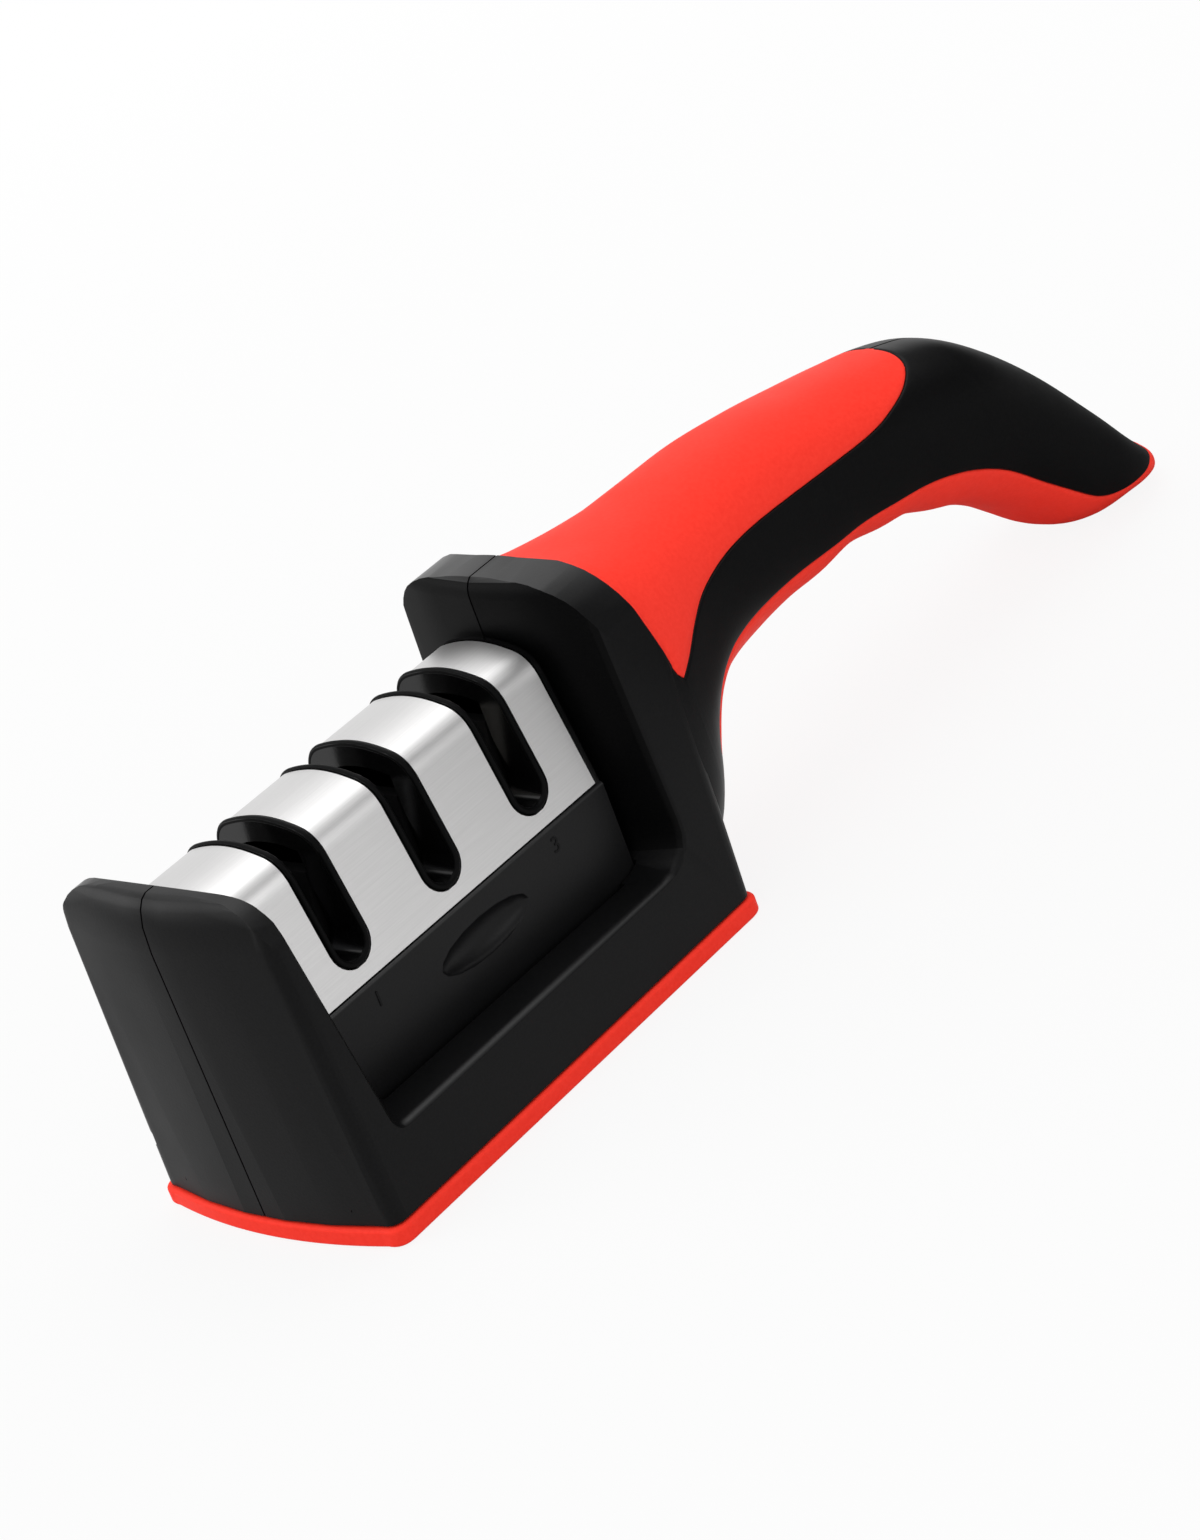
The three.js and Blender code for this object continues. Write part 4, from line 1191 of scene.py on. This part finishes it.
def finish_tree(tree, instances, finish):
    """The end of a tree: its instances made real, with their finish."""
    real = add_node(tree, "GeometryNodeRealizeInstances", {"Geometry": instances})
    coloured = add_node(tree, "GeometryNodeSetMaterial", {
        "Geometry": real.outputs["Geometry"], "Material": finish})
    add_node(tree, "NodeGroupOutput", {"Geometry": coloured.outputs["Geometry"]})


def plain_result(mesh, tree, names, values, name):
    """Runs a tree on a mesh and returns the result as a plain mesh."""
    work = in_scene("work", mesh)
    maker = work.modifiers.new("maker", "NODES")
    maker.node_group = tree
    for label, value in values.items():
        maker[names[label]] = value
    result = plain_mesh(work)
    result.name = name
    return result


# %% Lips
bead_radius, bead_sides, bead_angle = 0.5, 12, math.radians(60)
slot_pitch = slot_places[1] - slot_places[0]
lip_tree, lip_names, given = new_geometry_tree("slot_lips", {
    "First slot": "NodeSocketVector", "Pitch": "NodeSocketVector", "Slots": "NodeSocketInt",
    "Bead radius": "NodeSocketFloat", "Bead sides": "NodeSocketInt", "Finish": "NodeSocketMaterial"})
path = add_node(lip_tree, "GeometryNodeMeshToCurve", {"Mesh": given["Geometry"]})
bead = add_node(lip_tree, "GeometryNodeCurvePrimitiveCircle", {
    "Radius": given["Bead radius"], "Resolution": given["Bead sides"]})
swept = add_node(lip_tree, "GeometryNodeCurveToMesh", {
    "Curve": path.outputs["Curve"], "Profile Curve": bead.outputs["Curve"]})
row = add_node(lip_tree, "GeometryNodeMeshLine", {
    "Start Location": given["First slot"], "Offset": given["Pitch"], "Count": given["Slots"]})
repeat = add_node(lip_tree, "GeometryNodeInstanceOnPoints", {
    "Points": row.outputs["Mesh"], "Instance": swept.outputs["Mesh"]})
finish_tree(lip_tree, repeat.outputs["Instances"], given["Finish"])
# The lips take the darker, duller plastic that paints shade in the pocket.
form = form_of(plain_result(path_mesh, lip_tree, lip_names, {
    "First slot": (slot_places[0] * mm, 0, 0), "Pitch": (slot_pitch * mm, 0, 0),
    "Slots": len(slot_places), "Bead radius": bead_radius * mm, "Bead sides": bead_sides,
    "Finish": painted_shade_plastic}, "lips"))
bmesh.ops.recalc_face_normals(form, faces=form.faces)
shade(form, bead_angle)
link_mesh("slot_lips", mesh_of(form, "slot_lips"), "cartridge", painted_shade_plastic, "black_plastic")

# %% [markdown]
# ## Screws
# Eight pan-head screws with a cross recess hold the shells and the cartridge
# floor. One screw is turned on a lathe profile, the cross is cut into its head,
# and Geometry Nodes set a copy on each seat, turned by a fixed random angle as
# a real driver leaves them.

# %% One screw
screw_shaft, screw_head, screw_relief, screw_steps = 1.3, 2.6, 0.1, 20
thread_start, thread_pitch, thread_depth, tip_radius, tip_length = 1.7, 0.8, 0.3, 0.5, 1.6
head_curve = [(screw_head - screw_relief, 0), (screw_head, 0.12), (screw_head, 0.9), (2.45, 1.25),
              (2.1, 1.55), (1.5, 1.74), (0, 1.8)]
cross_long, cross_wide, cross_deep, cross_taper = 3.1, 0.62, 1.5, 0.62


def one_screw(length):
    """A screw with its seat at z = 0 and its head above."""
    core, neck = screw_shaft - thread_depth, screw_shaft - screw_relief
    profile = [(0, -length), (tip_radius, -length), (neck, -length + tip_length)]
    for i in range(int((length - tip_length - thread_pitch) / thread_pitch)):
        z = -length + thread_start + thread_pitch * i
        profile += [(core, z), (screw_shaft, z + thread_pitch / 2)]
    profile += [(core, -thread_depth), (neck, 0)] + head_curve
    form = bmesh.new()
    line = [form.verts.new((r * mm, 0, z * mm)) for r, z in profile]
    edges = [form.edges.new(pair) for pair in zip(line, line[1:])]
    bmesh.ops.spin(form, geom=line + edges, cent=(0, 0, 0), axis=(0, 0, 1), angle=math.tau,
                   steps=screw_steps)
    bmesh.ops.remove_doubles(form, verts=form.verts, dist=merge_distance)
    bmesh.ops.recalc_face_normals(form, faces=form.faces)
    return mesh_of(form, "one_screw")


def cross_recess():
    """The driver's cross, tapering into the head."""
    form = bmesh.new()
    for turn in (0, math.pi / 2):
        made = bmesh.ops.create_cube(form, size=1)["verts"]
        for v in made:
            long = cross_long * (cross_taper if v.co.z < 0 else 1)
            v.co = Vector((v.co.x * long, v.co.y * cross_wide, (1 + v.co.z) * cross_deep)) * mm
        bmesh.ops.rotate(form, verts=made, cent=(0, 0, 0), matrix=Matrix.Rotation(turn, 3, "Z"))
    return mesh_of(form, "cross_recess")


def cut_screw(length):
    """A screw with the cross cut into its head."""
    cut = carved(one_screw(length), cross_recess(), "DIFFERENCE", solver="EXACT", use_self=True)
    return shaded_mesh(cut, sharp_angle, "cut_screw")


print("screw head", 2 * screw_head, "mm wide, shaft", 2 * screw_shaft, "mm")

# %% Screws on their seats
screw_tree, screw_names, given = new_geometry_tree("screws_on_seats", {
    "Screw": "NodeSocketObject", "Facing": "NodeSocketRotation", "Seed": "NodeSocketInt",
    "Finish": "NodeSocketMaterial"})
float_max, float_value = 3, 1
shape = add_node(screw_tree, "GeometryNodeObjectInfo", {"Object": given["Screw"]})
seats = add_node(screw_tree, "GeometryNodeInstanceOnPoints", {
    "Points": given["Geometry"], "Instance": shape.outputs["Geometry"], "Rotation": given["Facing"]})
turn = add_node(screw_tree, "FunctionNodeRandomValue", {float_max: math.pi / 2, "Seed": given["Seed"]})
spin = add_node(screw_tree, "ShaderNodeCombineXYZ", {"Z": turn.outputs[float_value]})
spun = add_node(screw_tree, "GeometryNodeRotateInstances", {
    "Instances": seats.outputs["Instances"], "Rotation": spin.outputs["Vector"]})
finish_tree(screw_tree, spun.outputs["Instances"], given["Finish"])


def set_screws(name, body, seat_points, length, facing, seed, replaced):
    """Copies of one screw on their seats, as one mesh."""
    points = bpy.data.meshes.new(name + "_seats")
    points.from_pydata([Vector(p) * mm for p in seat_points], [], [])
    pattern = in_scene(name + "_pattern", cut_screw(length))
    mesh = plain_result(points, screw_tree, screw_names, {
        "Screw": pattern, "Facing": facing, "Seed": seed, "Finish": screw_steel}, name)
    bpy.data.objects.remove(pattern)
    link_mesh(name, mesh, body, screw_steel, "screw_steel", *replaced)


def node_middle(node):
    """Middle of a node's box, in millimetres."""
    low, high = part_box(node)
    return (low + high) / 2 / mm


shell_seat, shell_length, shell_seed = 6.0, 14, 4
floor_seat, floor_length, floor_seed = 8.7, 9, 7
shell_screws = [f"shell_screw_{i}" for i in range(1, 5)]
shell_seats = [(node_middle(n).x, shell_seat, node_middle(n).z) for n in shell_screws]
set_screws("shell_screws", "housing", shell_seats, shell_length, (-math.pi / 2, 0, 0), shell_seed,
           shell_screws)
floor_screws = [f"cartridge_screw_{i}" for i in range(1, 5)]
floor_seats = [(*node_middle(n).xy, floor_seat) for n in floor_screws]
set_screws("floor_screws", "cartridge", floor_seats, floor_length, (math.pi, 0, 0), floor_seed,
           floor_screws)

# %% [markdown]
# ## Inside the cartridge
# Under each slot stands a holder with two crossed abrasives: carbide blades,
# diamond rods and ceramic rods. They show only as dark shapes between the
# lips. Their solids have the right form, so they are copied with smooth rods,
# and get their own finishes.

# %% Holders and abrasives
for stage in ("coarse", "medium", "fine"):
    moulded_piece(stage + "_holder", "cartridge", inner_plastic, "black_plastic")
moulded_piece("cartridge_floor", "cartridge", inner_plastic, "black_plastic")
for hand in ("left", "right"):
    moulded_piece("carbide_blade_" + hand, "cartridge", carbide, "carbide")
    moulded_piece("diamond_rod_" + hand, "cartridge", diamond_steel, "diamond_steel")
    moulded_piece("ceramic_rod_" + hand, "cartridge", white_ceramic, "white_ceramic")

# %% [markdown]
# ## Stage numbers
# Small raised numbers on both sides of the cartridge mark its first and last
# slot, with the finger dimple between them. Each is a text turned into a mesh
# and laid on the side wall.

# %% Numbers on the cartridge
number_height, number_rise, number_z = 3.4, 0.12, 25.2
form = bmesh.new()
for number, x in ((1, slot_places[0]), (3, slot_places[2])):
    writing = bpy.data.curves.new("stage_number", "FONT")
    writing.body = str(number)
    writing.size = number_height * mm
    writing.align_x = "CENTER"
    writing.extrude = number_rise * mm
    flat = plain_mesh(in_scene("stage_number", writing))
    for sign in (-1, 1):
        turned = flat.copy()
        turned.transform(Matrix(((-sign, 0, 0, x * mm), (0, 0, sign, sign * cartridge_half * mm),
                                 (0, 1, 0, number_z * mm), (0, 0, 0, 1))))
        form.from_mesh(turned)
        bpy.data.meshes.remove(turned)
    bpy.data.meshes.remove(flat)
bmesh.ops.remove_doubles(form, verts=form.verts, dist=merge_distance)
bmesh.ops.recalc_face_normals(form, faces=form.faces)
link_mesh("stage_numbers", mesh_of(form, "stage_numbers"), "cartridge", black_plastic, "black_plastic")
